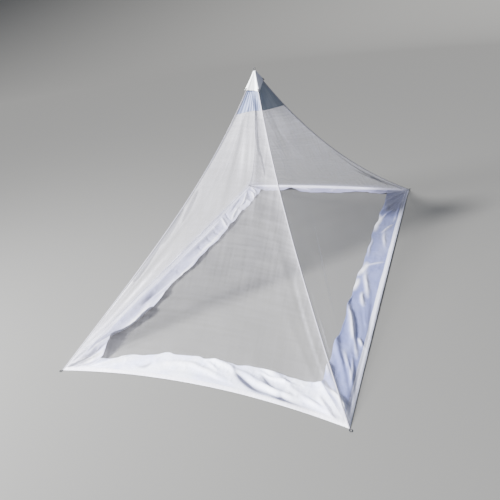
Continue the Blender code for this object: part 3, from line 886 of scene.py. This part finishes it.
# ------------------------------------------------------------ ground bands
# Finer creases of the bands, in mm: ends on the flat cloth (a, b, a, b), a from the
# middle of the side and b from its hem, arc aside, half width at either end, height.
FINE_BAND_FOLDS = {
    "front": [
        (575, 0, 459, 101, 14, 4, 12, 12), (575, -10, 400, 62, -11, 4, 14, 11),
        (430, 55, 150, 90, 19, 14, 11, 11), (480, 4, 240, 34, -2, 7, 8, -7),
        (275, 24, 100, 138, 26, 8, 8, -8), (580, -6, 466, 34, -15, 4, 8, -6),
        (300, 64, 219, 122, 9, 6, 8, -6), (349, 0, 321, 89, 2, 10, 10, -3),
        (131, 24, -245, 68, -48, 12, 16, 8), (198, 10, -204, 35, -23, 10, 12, -4),
        (-240, 88, -302, 58, 21, 12, 12, -6), (-310, 17, -413, 25, 3, 8, 10, -5),
        (-575, 0, -300, 120, -20, 5, 14, 9), (-575, 4, -430, 110, -6, 4, 10, 8),
        (61, 85, -35, 148, 2, 8, 8, 5), (194, 129, 386, 111, -8, 7, 8, 7),
    ],
    "right": [
        (-1080, -4, -920, 125, -17, 4, 12, 17), (-1075, -6, -690, 94, -15, 4, 9, 11),
        (-1070, -8, -700, 60, -4, 4, 6, 8), (-760, 25, -370, 126, 9, 8, 10, 11),
        (-700, -6, -605, 54, 6, 7, 7, 10), (-870, 108, -780, 134, 8, 10, 8, 8),
        (-640, 43, -350, 110, 2, 6, 7, -6), (-670, 16, -350, 86, 0, 6, 7, -6),
        (-680, 8, -310, 47, -4, 6, 8, -6), (-390, 62, -256, 86, 7, 9, 9, 9),
        (-330, 50, -50, 106, 1, 10, 10, 9), (46, 18, -18, 124, -1, 5, 6, 7),
        (375, 82, 511, 31, 2, 7, 7, 9), (560, 120, 740, 56, 2, 7, 7, 9),
        (320, 129, 60, 119, 1, 6, 7, 5), (195, 42, 405, 65, 8, 8, 8, 6),
        (1060, 10, 670, 122, 24, 6, 16, -8), (1052, 14, 520, 38, 0, 5, 10, 10),
        (1050, 20, 860, 128, 10, 5, 11, 9),
    ],
    "back": [
        (-575, 0, -420, 70, -29, 6, 12, 8), (-400, 10, -300, 90, 10, 8, 10, 6),
        (-116, 0, -61, 85, 0, 10, 10, 6), (186, 0, 74, 75, 0, 10, 10, 6),
        (400, 20, 460, 110, 4, 6, 9, 7), (575, 0, 500, 110, 4, 4, 9, 8),
    ],
    "left": [
        (1070, 15, 700, 11, 7, 5, 12, 11), (780, 12, 130, 28, 8, 15, 17, 13),
        (200, 25, -460, 36, -8, 16, 12, 10), (1075, 22, 770, 20, -6, 4, 12, 13),
        (1065, 12, 940, 98, 15, 3, 8, -12), (1070, 22, 960, 118, -3, 3, 12, 15),
        (1070, 20, 860, 104, 12, 4, 11, 12), (460, 54, 600, 54, 0, 12, 12, -8),
        (-547, 14, -395, 120, -5, 6, 6, -10), (-830, 28, -540, 55, -2, 6, 6, -10),
        (-786, 83, -620, 83, 4, 5, 5, -8), (-980, 26, -720, 145, -5, 6, 6, -11),
        (-470, 16, -295, 142, -5, 8, 8, 11), (-430, 103, -650, 76, 0, 8, 7, 12),
        (-664, 86, -950, 30, -7, 7, 7, 12), (-972, 52, -747, 180, -2, 8, 8, 13),
        (-1060, 10, -900, 120, 10, 5, 9, 11), (9, 120, -44, 50, 5, 8, 6, -5),
        (-104, 124, -165, 46, 8, 9, 6, -6), (-200, 126, -270, 40, 3, 9, 7, -7),
        (300, 128, 240, 56, 4, 11, 8, -5),
    ],
}
# Painted highlights and painted shade on the bands. Rows as above, but the last
# number is the tone: above 0 a painted highlight, below 0 painted shade.
BAND_PAINTED_LIGHT_AND_SHADE = {
    "front": [
        (520, 0, 220, 36, -4, 10, 12, -0.70), (290, 22, 95, 140, 26, 11, 11, -0.75),
        (320, 62, 215, 126, 9, 8, 9, -0.60), (620, -4, 440, 40, -14, 8, 10, -0.75),
        (349, -4, 321, 89, 2, 12, 12, -0.35), (-240, 92, -302, 52, 21, 12, 12, -0.30),
        (-600, 0, -320, 120, 4, 5, 7, -0.60), (-560, 10, -300, 50, 0, 10, 20, -0.12),
        (620, 60, -20, 70, 0, 90, 60, -0.18),
    ],
    "right": [
        (1300, 50, 590, 60, 0, 120, 60, -2.00), (380, 124, 660, 126, 0, 12, 14, 0.90),
        (-130, 128, 30, 112, 0, 12, 12, 0.80), (-270, 130, -130, 122, 0, 10, 10, 0.80),
        (-1180, 0, -760, 36, 0, 8, 16, -0.60), (-230, 50, -690, 12, 2, 7, 8, -0.50),
        (-900, 40, -560, 70, 4, 7, 9, -0.50), (-1000, 60, -780, 112, -6, 7, 9, -0.45),
        (-1250, 16, -420, 19, 0, 9, 7, -0.70), (-60, 50, 620, 60, 0, 30, 40, 0.08),
    ],
    "back": [
        (-700, 40, -300, 50, 0, 70, 60, -0.95), (500, 20, 20, 30, 0, 40, 30, 0.35),
    ],
    "left": [
        (860, 46, 160, 60, 4, 18, 24, -0.42), (160, 50, -340, 52, 2, 16, 20, -0.30),
        (850, 82, 530, 80, -12, 14, 14, 1.00), (600, 108, 80, 108, 0, 10, 10, 0.95),
        (140, 94, -340, 104, 0, 10, 11, 0.95), (580, 66, 260, 92, 2, 5, 5, 0.60),
        (-280, 90, -980, 90, 0, 50, 50, 0.35), (1120, 2, 920, 106, 15, 6, 11, -1.20),
        (1130, 16, 950, 120, -3, 3, 10, 0.80), (1120, 20, 760, 60, 0, 6, 12, -0.80),
        (1120, 10, 560, 12, 6, 5, 10, 0.50),
    ],
}
CREST_HEIGHT = 0.018          # a fold this high, or deep, takes on the full painted highlight, or shade
# Where the inner margin curls up: from and to along the side, width, height.
CURLS = {
    "front": [(-0.50, -0.40, 0.030, 0.012)],
    "right": [(-0.62, -0.30, 0.012, 0.004)],
    "back": [(-0.50, -0.15, 0.014, 0.005)],
    "left": [(-0.60, 0.74, 0.028, 0.012), (0.60, 0.90, 0.050, 0.024)],
}
CURL_ENDS = 0.06              # a curl starts and ends over this length
BAND_CRINKLES = [(0.034, 0.0016), (0.013, 0.0006)]    # lattice cell, height
FOLD_GROWTH = 1.3             # power by which the solids' folds grow from the hem
HEM_STIFFNESS = 0.25          # share of the fine creases that the doubled hem keeps
HEM_EASE = 0.012              # from its step, the creases grow to full over this
CREASE_START = 0.01           # and from the outer edge over this
BAND_LOWEST = 0.0002          # the cloth lies this far above the ground


def side_length(side):
    first, last = SIDES[side][:2]
    return np.linalg.norm(corner(last) - corner(first))


def band_width(side, x):
    """Width of a side's band, x along the side."""
    missing = sum(share * np.exp(-((x - place) / half_width) ** 2)
                  for place, half_width, share in NARROWINGS[side])
    return SIDES[side][BAND_WIDTH] * (1 - missing)


def band_depth(side, x, v):
    """Distance inwards from the corners' line, x along the side, v across the band."""
    u = x / side_length(side)
    bow = SIDES[side][HEM_BOW]
    return BAND_OFF_HEM + band_width(side, x) * v + bow * 4 * u * (1 - u)


def mitre(name, v):
    """Where two bands meet at a corner: distances along the next and the last side."""
    next_side, last_side = sides_at(name)
    whole = side_length(last_side)
    along_next, along_last = 0.0 * v, 0.0 * v
    for _ in range(MITRE_PASSES):
        along_next = band_depth(last_side, whole - along_last, v)
        along_last = band_depth(next_side, along_next, v)
    return along_next, along_last


def curl(side, a, from_edge):
    """Height of the curled inner margin: a quarter circle's rise over its width."""
    height = np.zeros_like(a)
    for start, end, reach, rise in CURLS[side]:
        along = np.clip(np.minimum(a - start, end - a) / CURL_ENDS, 0, 1)
        across = np.clip((reach - from_edge) / reach, 0, 1)
        height += rise * np.sin(np.pi / 2 * along) * (1 - np.sqrt(1 - across ** 2))
    return height


def band_surface(side):
    """Ground band on its solid: the solid's height, the finer creases and crinkles on
    it, and a step where the doubled hem ends. Gives the points, the flat places and a
    painted tone: 1 a full painted highlight on a high fold, -1 full painted shade in a
    deep one."""
    first, last, _, lift = SIDES[side][:4]
    rows, columns = BAND_GRID[side]
    length = side_length(side)
    start = corner(first)
    along = (corner(last) - start) / length
    v = np.linspace(0, 1, rows + 1)[:, None]
    from_first = np.maximum(mitre(first, v)[0] + MITRE_GAP, BAND_CORNER_CUT)
    from_last = np.maximum(mitre(last, v)[1] + MITRE_GAP, BAND_CORNER_CUT)
    row_length = length - from_first - from_last
    t = np.linspace(0, 1, columns + 1)
    x = from_first + t * row_length
    wave = sum(size * np.sin(2 * np.pi * count * t + phase)
               for size, count, phase in EDGE_WAVES)
    ends = np.clip(np.minimum(t, 1 - t) / EDGE_WAVE_FADE, 0, 1)
    width = band_width(side, x) + 0 * x
    a, b = x - length / 2, width * v
    inwards = band_depth(side, x, v) + wave * ends * v - BAND_OFF_HEM * (1 - v) ** 4
    settle = (1 - np.clip(v / SIDES[side][BAND_DESCENT], 0, 1)) ** 2
    height = lift * 4 * t * (1 - t) * settle
    for at_hem, at_inner, half_width, rise in BAND_FOLDS[side]:
        away = (t - at_hem - (at_inner - at_hem) * v) * row_length
        height = height + rise * v ** FOLD_GROWTH * np.exp(-(away / half_width) ** 2)
    free = HEM_STIFFNESS + (1 - HEM_STIFFNESS) * np.clip((b - FACING) / HEM_EASE, 0, 1)
    fine_folds = creases(a, b, FINE_BAND_FOLDS[side])
    fine = fine_folds + curl(side, a, width * (1 - v))
    fine += sum(size * crinkle(a, b, cell, SEEDS[side]) for cell, size in BAND_CRINKLES)
    step = FACING_STEP * np.clip((FACING - b) / MM, 0, 1)
    height = height + fine * free * np.clip(b / CREASE_START, 0, 1) + step
    points = start + x[..., None] * along + inwards[..., None] * inward(side)
    points[..., 2] = np.maximum(height, BAND_LOWEST)
    # painted light: highlights on the folds' crests, shade in their hollows and along the
    # listed stretches
    tone = fine_folds / CREST_HEIGHT * free
    tone = np.clip(tone + creases(a, b, BAND_PAINTED_LIGHT_AND_SHADE[side], 1), -1, 1)
    return points, np.stack([a, b], axis=-1), tone


def add_band(side):
    """Ground band of smooth cloth, sewn inside the hem and lying on the ground."""
    points, cloth, tone = band_surface(side)
    mesh = grid_mesh("ground_cloth_" + side, points, cloth)
    # painted highlight and painted shade, for the material to blend in
    point_values(mesh, "painted_highlight_share", np.maximum(tone, 0))
    point_values(mesh, "painted_shade_share", np.maximum(-tone, 0))
    obj = add_piece(mesh, BANDS[side], ["ground_band_" + side])
    thicken(obj, BAND_CLOTH)
    return obj


# ------------------------------------------------------------ tip
TIP_CREASE = (0.64, 0.055, 0.0042)    # on the front: place across, half width, depth
TIP_CREASE_PAINTED_SHADE = (0.60, 0.030, 0.50)  # painted shade along the crease: place, half width, strength
TIP_FLUTES = (3, 0.0006)              # soft flutes on each side, their height
TIP_SLANT = 0.075                     # height of its flat cloth
# side by side from the front: painted shade of the cloth at its first and at its last hip
TIP_PAINTED_SHADE_BY_SIDE = [(0.0, 0.0), (0.42, 0.66), (0.55, 0.45), (0.15, 0.05)]


def tip_facing(side):
    """Level direction that a side of the tip faces."""
    first, last = (hip(name, TIP_MIDDLE) for name in SIDES[side][:2])
    along = last - first
    return unit(np.array([along[1], -along[0], 0.0]))


def tip_painted_shade(u):
    """Painted shade of the tip's cloth, for each column from hip to hip: a steady
    slope over each side, and a narrow line along the front crease."""
    place, half_width, depth = TIP_CREASE_PAINTED_SHADE
    sides = [first + (last - first) * u for first, last in TIP_PAINTED_SHADE_BY_SIDE]
    sides[0] = sides[0] + depth * np.exp(-((u - place) / half_width) ** 2)
    return np.concatenate(sides)


def add_tip():
    """White tip pulled over the cap: rings that stand off the four sides, with a crease
    down the front and soft flutes, drawn to a point at the top."""
    u = np.arange(TIP_COLUMNS) / TIP_COLUMNS
    share = np.linspace(0, 1, TIP_ROWS + 1)[:, None]
    stand_off = TIP_CLEARANCE + TIP_FLARE * (1 - share) ** 2
    flutes, rise = TIP_FLUTES
    quarters = []
    for side in SIDES:
        hem = edge_at(side, u, TIP_HEM)
        s = hem + (1 - SHEET / TOP[2] - hem) * share
        here, before = tip_facing(side), tip_facing(sides_at(SIDES[side][0])[1])
        away = np.tile(here, (TIP_COLUMNS, 1))
        away[0] = (here + before) / (1 + here @ before)
        wave = rise * np.sin(np.pi * u) * np.cos(2 * np.pi * flutes * u)
        if side == "front":
            place, half_width, depth = TIP_CREASE
            wave = wave - depth * np.exp(-((u - place) / half_width) ** 2)
        proud = stand_off + wave * (1 - share)
        quarters.append(panel(side, u, s) + proud[..., None] * away)
    rings = np.concatenate(quarters, axis=1)
    rings[-1, :, 2] = TOP[2] - SHEET
    around = np.concatenate([rings, rings[:, :1]], axis=1)
    a = run_along(around.swapaxes(0, 1)).T
    cloth = np.stack([a, share * TIP_SLANT + 0 * a], axis=-1)
    mesh = grid_mesh("tip_cloth", rings, cloth, closed=True)
    # painted shade of the tip's sides and of its front crease line
    point_values(mesh, "painted_shade_share", tip_painted_shade(u) * np.ones_like(share))
    obj = add_piece(mesh, MATERIALS["tip_cloth"], ["tip"])
    thicken(obj, TIP_CLOTH)
    return obj, rings


# ------------------------------------------------------------ tapes, stitches, loops
TAPE_STATIONS = 150           # sections of a seam tape
TAPE_SECTION = 7              # points along each face of its section
TAPE_PUCKER = (0.00022, 0.017)    # height and length of its small puckers
TAPE_SWAY = (2, 23)           # the puckers come unevenly: amplitude and rate of a sine
TAPE_FOLD = 0.3               # share of an arm over which the tape turns at the hip
TAPE_EDGE = (6, 0.35)         # power and share by which it is pressed flat at its edges


def tape_frame(name, stations):
    """The hip line, its tangents, and for each of its two sides the direction along the
    cloth and the outward normal."""
    line = hip(name, stations)
    tangent = unit(np.gradient(line, axis=0))
    next_side, last_side = sides_at(name)
    arms, normals = [], []
    for side, start, turn in ((next_side, 0.0, 1), (last_side, 1.0, -1)):
        near = panel(side, start + turn * STEP, stations) - line
        arm = unit(near - np.sum(near * tangent, axis=-1, keepdims=True) * tangent)
        arms.append(arm)
        normals.append(unit(np.cross(arm, tangent)) * turn)
    return line, tangent, arms, normals


def tape_ring(line, arms, normals, pucker):
    """Section of a folded tape at every station: out along one arm on the outside,
    back on the inside, and the same on the other arm, with a soft fold at the hip."""
    out = np.linspace(1, 0, TAPE_SECTION)[None, :, None] * TAPE_ARM
    middle = unit(normals[0] + normals[1])
    lean = np.sum(middle * normals[0], axis=-1, keepdims=True)
    soft = np.exp(-(out / (TAPE_FOLD * TAPE_ARM)) ** 2)
    power, pressed = TAPE_EDGE
    edge = (out / TAPE_ARM) ** power
    rows = []
    for level, thick in ((TAPE_PROUD, pucker), (-TAPE_INSIDE, 0.0)):
        for arm, normal in zip(arms, normals):
            facing = normal[:, None] * (1 - soft) + (middle / lean)[:, None] * soft
            lift = level * (1 - pressed * edge) + thick * (out / TAPE_ARM)
            rows.append(line[:, None] + arm[:, None] * out + facing * lift)
    outer_next, outer_last, inner_next, inner_last = rows
    return np.concatenate([outer_next, outer_last[:, -2::-1],
                           inner_last[:, :-1], inner_next[:, ::-1]], axis=1)


def add_tape(name):
    """Seam tape folded over a hip, with small puckers between its stitches."""
    stations = np.linspace(0, CORNERS[name][TIP_HEM] + CAP_IN_TIP, TAPE_STATIONS + 1)
    line, tangent, arms, normals = tape_frame(name, stations)
    run = run_along(line)
    size, wave = TAPE_PUCKER
    sway, rate = TAPE_SWAY
    pucker = size * np.sin(2 * np.pi * run / wave + sway * np.sin(run * rate))
    ring = tape_ring(line, arms, normals, pucker[:, None, None])
    outwards = outer_end(name)[0]
    overhang = (ring[0] - line[0]) @ outwards
    ring[0] -= overhang[:, None] * tangent[0] / (tangent[0] @ outwards)
    ring[..., 2] = np.maximum(ring[..., 2], 0.0)
    around = np.linspace(0, 4 * TAPE_ARM, ring.shape[1] + 1)
    cloth = np.stack(np.broadcast_arrays(around[None, :], run[:, None]), axis=-1)
    mesh = grid_mesh("hip_tape_" + name, ring, cloth, closed=True)
    close_ends(mesh, *ring.shape[:2])
    return add_piece(mesh, MATERIALS["seam_tape"], ["seam_tape_" + name])


def close_ends(mesh, rows, columns):
    """Closes the first and last ring of a closed grid."""
    def add_ends(edit):
        edit.verts.ensure_lookup_table()
        for first in (0, (rows - 1) * columns):
            edit.faces.new([edit.verts[first + k] for k in range(columns)])
    edit_faces(mesh, add_ends)


STITCH_PITCH = 0.0046         # from one stitch to the next
STITCH_LENGTH = 0.0034
STITCH_RADIUS = 0.00035
STITCH_SIDES = 4
# A stitch: places along it, and its radius there as a share.
STITCH_PROFILE = np.array([(-0.5, 0.25), (-0.3, 0.9), (0.0, 1.0), (0.3, 0.9), (0.5, 0.25)])
STITCH_RISE = 0.6             # its middle stands this share of its radius off the cloth
HEM_STITCHES = (0.003, FACING - 0.003)    # places of a band's two rows
HEM_STITCH_LIMIT = 0.98       # share of a band's width that they never pass
TAPE_STITCH_START = 0.012     # fraction of the hip where a tape's stitches start
TAPE_STITCH_STATIONS = 240
TAPE_STITCH_PLACE = (0.72, 0.9)   # share of the tape's arm and of its thickness


def read_at(at, run, values):
    """Rows of values that are known at the places run, read at other places."""
    return np.stack([np.interp(at, run, column) for column in values.T], axis=-1)


def even_places(path, pitch):
    """Middle points, directions and path shares at an even pitch along a path."""
    run = run_along(path)
    at = np.arange(pitch / 2, run[-1], pitch)
    ahead, behind = (read_at(at + step, run, path) for step in (pitch / 4, -pitch / 4))
    return read_at(at, run, path), unit(ahead - behind), at / run[-1]


def stitch_row(path, normals, length=STITCH_LENGTH, radius=STITCH_RADIUS,
               pitch=STITCH_PITCH):
    """Points of square spindles laid end to end along a path, each with its length
    along the path and a little sunk into the cloth."""
    point, direction, share = even_places(path, pitch)
    normal = unit(read_at(share, np.linspace(0, 1, len(path)), normals))
    side = unit(np.cross(direction, normal))
    angle = (np.arange(STITCH_SIDES) + 0.5) * 2 * np.pi / STITCH_SIDES
    along = STITCH_PROFILE[:, 0, None, None] * length
    reach = STITCH_PROFILE[:, 1, None, None] * radius
    return (point[:, None, None] + normal[:, None, None] * radius * STITCH_RISE
            + direction[:, None, None] * along
            + side[:, None, None] * np.cos(angle)[:, None] * reach
            + normal[:, None, None] * np.sin(angle)[:, None] * reach)


def add_stitches(name, rows, material="thread"):
    """One mesh of many stitches, each a closed spindle."""
    stitches = np.concatenate(rows)
    count, rings = stitches.shape[:2]
    wall = grid_quads(rings, STITCH_SIDES, closed=True)[2]
    start_cap = np.arange(STITCH_SIDES)[::-1]
    end_cap = np.arange(STITCH_SIDES) + (rings - 1) * STITCH_SIDES
    one = np.concatenate([wall, [start_cap, end_cap]])
    first = np.arange(count)[:, None, None] * rings * STITCH_SIDES
    faces = (first + one).reshape(-1, STITCH_SIDES)
    mesh = bpy.data.meshes.new(name)
    mesh.from_pydata(stitches.reshape(-1, 3).tolist(), [], faces[:, ::-1].tolist())
    return add_piece(mesh, MATERIALS[material])


def tape_stitches(name):
    """Two rows of stitches along a tape, one on each arm near its edge."""
    stations = np.linspace(TAPE_STITCH_START, CORNERS[name][TIP_HEM],
                           TAPE_STITCH_STATIONS)
    line, _, arms, normals = tape_frame(name, stations)
    aside, above = TAPE_STITCH_PLACE
    return [stitch_row(line + arm * TAPE_ARM * aside + normal * TAPE_PROUD * above, normal)
            for arm, normal in zip(arms, normals)]


TACK_LENGTH = 0.0075          # bar tacks that hold the tip's hem, to each side of a hip
TACK_RADIUS = 0.0009
TACK_STEP = 0.0014            # from one stitch of a tack up to the next
TACK_STITCHES = 9
TACK_COLUMNS = 3              # the cloth's own direction is taken over so many columns


def tip_tacks(rings):
    """Bar tacks at the corners of the tip's hem: stitches one above the other that start
    at the hip and lie flat on the outside of each of the two sides that meet there."""
    stitches = []
    for column in range(0, rings.shape[1], TIP_COLUMNS):
        hem = rings[0, column]
        away = (hem - TOP) * np.array([1, 1, 0])
        up = unit(rings[2, column] - hem)
        for turn in (-TACK_COLUMNS, TACK_COLUMNS):
            along = unit(rings[0, column + turn] - hem)
            outwards = unit(np.cross(along, up))
            outwards = outwards * np.sign(outwards @ away)
            for step in range(TACK_STITCHES):
                start = hem + up * TACK_STEP * step + outwards * TIP_CLOTH
                path = np.array([start, start + along * TACK_LENGTH])
                stitches.append(stitch_row(path, np.array([outwards, outwards]),
                                           TACK_LENGTH, TACK_RADIUS, TACK_LENGTH))
    return stitches


def band_stitches(side):
    """Two rows along a band: near its outer edge, and where its doubled hem ends."""
    points, cloth, _ = band_surface(side)
    rows = []
    for place in HEM_STITCHES:
        share = np.minimum(place / cloth[-1, :, 1], HEM_STITCH_LIMIT) * (len(points) - 1)
        below = np.floor(share).astype(int)
        column = np.arange(points.shape[1])
        part = (share - below)[:, None]
        path = points[below, column] * (1 - part) + points[below + 1, column] * part
        path[:, 2] += BAND_CLOTH
        rows.append(stitch_row(path, np.tile([0.0, 0.0, 1.0], (len(path), 1))))
    return rows


CORD_PLIES = 3
CORD_LOBES = 0.09             # share of the cord's radius that the plies wave by
CORD_TWIST = 0.0065           # length of one turn of the plies
LOOP_POINTS = 96
LOOP_RING = 18                # points round the cord


def add_loop(name, replaced, foot, direction, across_direction, length):
    """Loop of plied cord: a round section with three soft lobes that turn along an
    egg-shaped closed path, its narrow end at foot."""
    angle = 2 * np.pi * np.arange(LOOP_POINTS) / LOOP_POINTS
    reach = length - LOOP_CORD
    run = reach / 2 * (1 - np.cos(angle))
    taper = LOOP_FOOT_SHARE + (1 - LOOP_FOOT_SHARE) * run / reach
    across = LOOP_EYE_WIDTH / 2 * np.sin(angle) * taper
    path = (foot + direction * LOOP_CORD / 2
            + run[:, None] * direction + across[:, None] * across_direction)
    ahead = unit(np.roll(path, -1, axis=0) - np.roll(path, 1, axis=0))
    up = np.cross(direction, across_direction)
    side = unit(np.cross(ahead, up))
    along = run_along(np.concatenate([path, path[:1]]))
    turns = round(along[-1] / CORD_TWIST)
    turn = np.arange(LOOP_RING) * 2 * np.pi / LOOP_RING
    twist = 2 * np.pi * turns * along[:-1] / along[-1]
    lobes = np.cos(CORD_PLIES * (turn - twist[:, None]))
    radius = LOOP_CORD / 2 * (1 - CORD_LOBES + CORD_LOBES * lobes)
    ring = (path[:, None] + side[:, None] * (np.cos(turn) * radius)[..., None]
            + up * (np.sin(turn) * radius)[..., None])
    closed_path = np.concatenate([ring, ring[:1]])
    around = np.linspace(0, np.pi * LOOP_CORD, LOOP_RING + 1)
    cloth = np.stack(np.broadcast_arrays(around[None, :], along[:, None]), axis=-1)
    mesh = grid_mesh(name, closed_path, cloth, closed=True)
    edit_faces(mesh, lambda edit: bmesh.ops.remove_doubles(edit, verts=edit.verts,
                                                           dist=1e-6))
    return add_piece(mesh, MATERIALS["loop_cord"], [replaced])


def add_peg_loop(name):
    direction, _ = outer_end(name)
    foot = corner(name) + direction * GAP + np.array([0.0, 0.0, LOOP_CORD / 2])
    across = np.array([-direction[1], direction[0], 0.0])
    return add_loop("peg_cord_" + name, "peg_loop_" + name, foot, direction, across,
                    PEG_LOOP - GAP)


def add_top_loop():
    foot = np.array([TOP[0], TOP[1], HEIGHT - TOP_LOOP])
    return add_loop("top_cord", "top_loop", foot, np.array([0.0, 0.0, 1.0]),
                    np.array([1.0, 0.0, 0.0]), TOP_LOOP)


# ------------------------------------------------------------ stage
FLOOR_RADIUS = 9.0            # flat floor round the canopy
SWEEP_RADIUS = 3.0            # the floor sweeps up into a wall with this radius
WALL_HEIGHT = 4.0
FLOOR_COLOUR = (0.115, 0.115, 0.112)
FLOOR_RINGS = (0.02, 3.0, FLOOR_RADIUS)
FLOOR_SIDES = 96              # points round the middle
BEND_STEPS = 24               # points up the bend
SUN_FROM = (-0.60, -0.52, 0.56)
SUN_STRENGTH = 15.0
SUN_SOFTNESS = math.radians(9)
SUN_COLOUR = (1.0, 0.985, 0.96)
LAMP_PLACE = (-2.0, -2.2, 1.9)    # a round lamp near the front left corner
LAMP_SIZE = 0.7
LAMP_POWER = 420.0
LAMP_AIM = (0.0, -0.5, 0.1)
SKY_COLOUR = (0.66, 0.74, 0.93)
SKY_STRENGTH = 0.75

# Camera: place, and turn, dip and roll of its view in degrees.
CAMERA_PLACE = (0.8349, -2.2488, 1.2900)
CAMERA_TURN, CAMERA_DIP, CAMERA_ROLL = -24.04, 27.04, -6.99
CAMERA_LENS, CAMERA_SENSOR = 35.28, 36.0


def round_sweep(name, radius, height):
    """Surface turned about the middle from a profile, facing up and inwards."""
    angle = np.linspace(0, 2 * np.pi, FLOOR_SIDES + 1)[:-1]
    points = np.stack(np.broadcast_arrays(
        radius[:, None] * np.cos(angle), radius[:, None] * np.sin(angle),
        height[:, None]), axis=-1)
    mesh = grid_mesh(name, points, np.zeros((len(radius), len(angle) + 1, 2)), closed=True)
    mesh.flip_normals()
    return mesh


def add_floor():
    """Pale studio floor: a flat disc, and a wall that sweeps up from it and throws no
    shadow."""
    bend = np.linspace(0, np.pi / 2, BEND_STEPS)
    outer = FLOOR_RADIUS + SWEEP_RADIUS * np.sin(bend)
    rise = SWEEP_RADIUS * (1 - np.cos(bend))
    disc = round_sweep("floor", np.array(FLOOR_RINGS), np.zeros(len(FLOOR_RINGS)))
    wall = round_sweep("wall", np.append(outer, outer[-1]),
                       np.append(rise, rise[-1] + WALL_HEIGHT))
    middle = bpy.data.meshes.new("floor_middle")
    first_ring = [vertex.co.copy() for vertex in disc.vertices[:FLOOR_SIDES]]
    middle.from_pydata(first_ring, [], [tuple(range(FLOOR_SIDES))])
    material, tree, inputs = new_material("floor")
    give(tree, inputs, {"Base Color": FLOOR_COLOUR, "Roughness": 0.9,
                        "Specular IOR Level": 0.2})
    for data in (disc, wall, middle):
        data.materials.append(material)
        obj = add_object(data)
        obj.visible_shadow = data is not wall


def add_lamp(name, kind, comes_from, **settings):
    """Lamp whose light comes from that direction."""
    lamp = bpy.data.lights.new(name, kind)
    for key, value in settings.items():
        setattr(lamp, key, value)
    obj = add_object(lamp)
    obj.rotation_euler = comes_from.to_track_quat("Z", "Y").to_euler()
    return obj


def add_lights():
    """Sun from the upper left, a soft lamp near the front left corner, a pale sky."""
    add_lamp("key", "SUN", Vector(SUN_FROM), energy=SUN_STRENGTH, angle=SUN_SOFTNESS,
             color=SUN_COLOUR)
    soft = add_lamp("soft", "AREA", Vector(LAMP_PLACE) - Vector(LAMP_AIM), shape="DISK",
                    size=LAMP_SIZE, energy=LAMP_POWER)
    soft.location = LAMP_PLACE
    world = bpy.data.worlds.new("studio")
    world.use_nodes = True
    give(world.node_tree, world.node_tree.nodes["Background"].inputs,
         {"Color": SKY_COLOUR, "Strength": SKY_STRENGTH})
    bpy.context.scene.world = world


def add_camera():
    """Camera at the measured viewpoint: its axes from turn and dip, then rolled."""
    turn, dip, roll = (math.radians(angle)
                       for angle in (CAMERA_TURN, CAMERA_DIP, CAMERA_ROLL))
    ahead = Vector((math.sin(turn) * math.cos(dip), math.cos(turn) * math.cos(dip),
                    -math.sin(dip)))
    right = Vector((math.cos(turn), -math.sin(turn), 0.0))
    up = right.cross(ahead)
    rolled_right = right * math.cos(roll) + up * math.sin(roll)
    rolled_up = up * math.cos(roll) - right * math.sin(roll)
    data = bpy.data.cameras.new("camera")
    data.lens = CAMERA_LENS
    data.sensor_width = CAMERA_SENSOR
    camera = add_object(data)
    turned = Matrix((rolled_right, rolled_up, -ahead)).transposed()
    camera.matrix_world = Matrix.Translation(CAMERA_PLACE) @ turned.to_4x4()
    bpy.context.scene.camera = camera


add_camera()
add_floor()
add_lights()

for name in CORNERS:
    add_tape(name)
    add_stitches("tape_stitches_" + name, tape_stitches(name), "tape_thread")
    add_peg_loop(name)
for side in SIDES:
    net = add_net(side)
    cap = add_cap(side)
    band = add_band(side)
    add_stitches("band_stitches_" + side, band_stitches(side))
tip, tip_rings = add_tip()
add_stitches("tip_tacks", tip_tacks(tip_rings), "tack_thread")
add_top_loop()

bpy.context.view_layer.update()
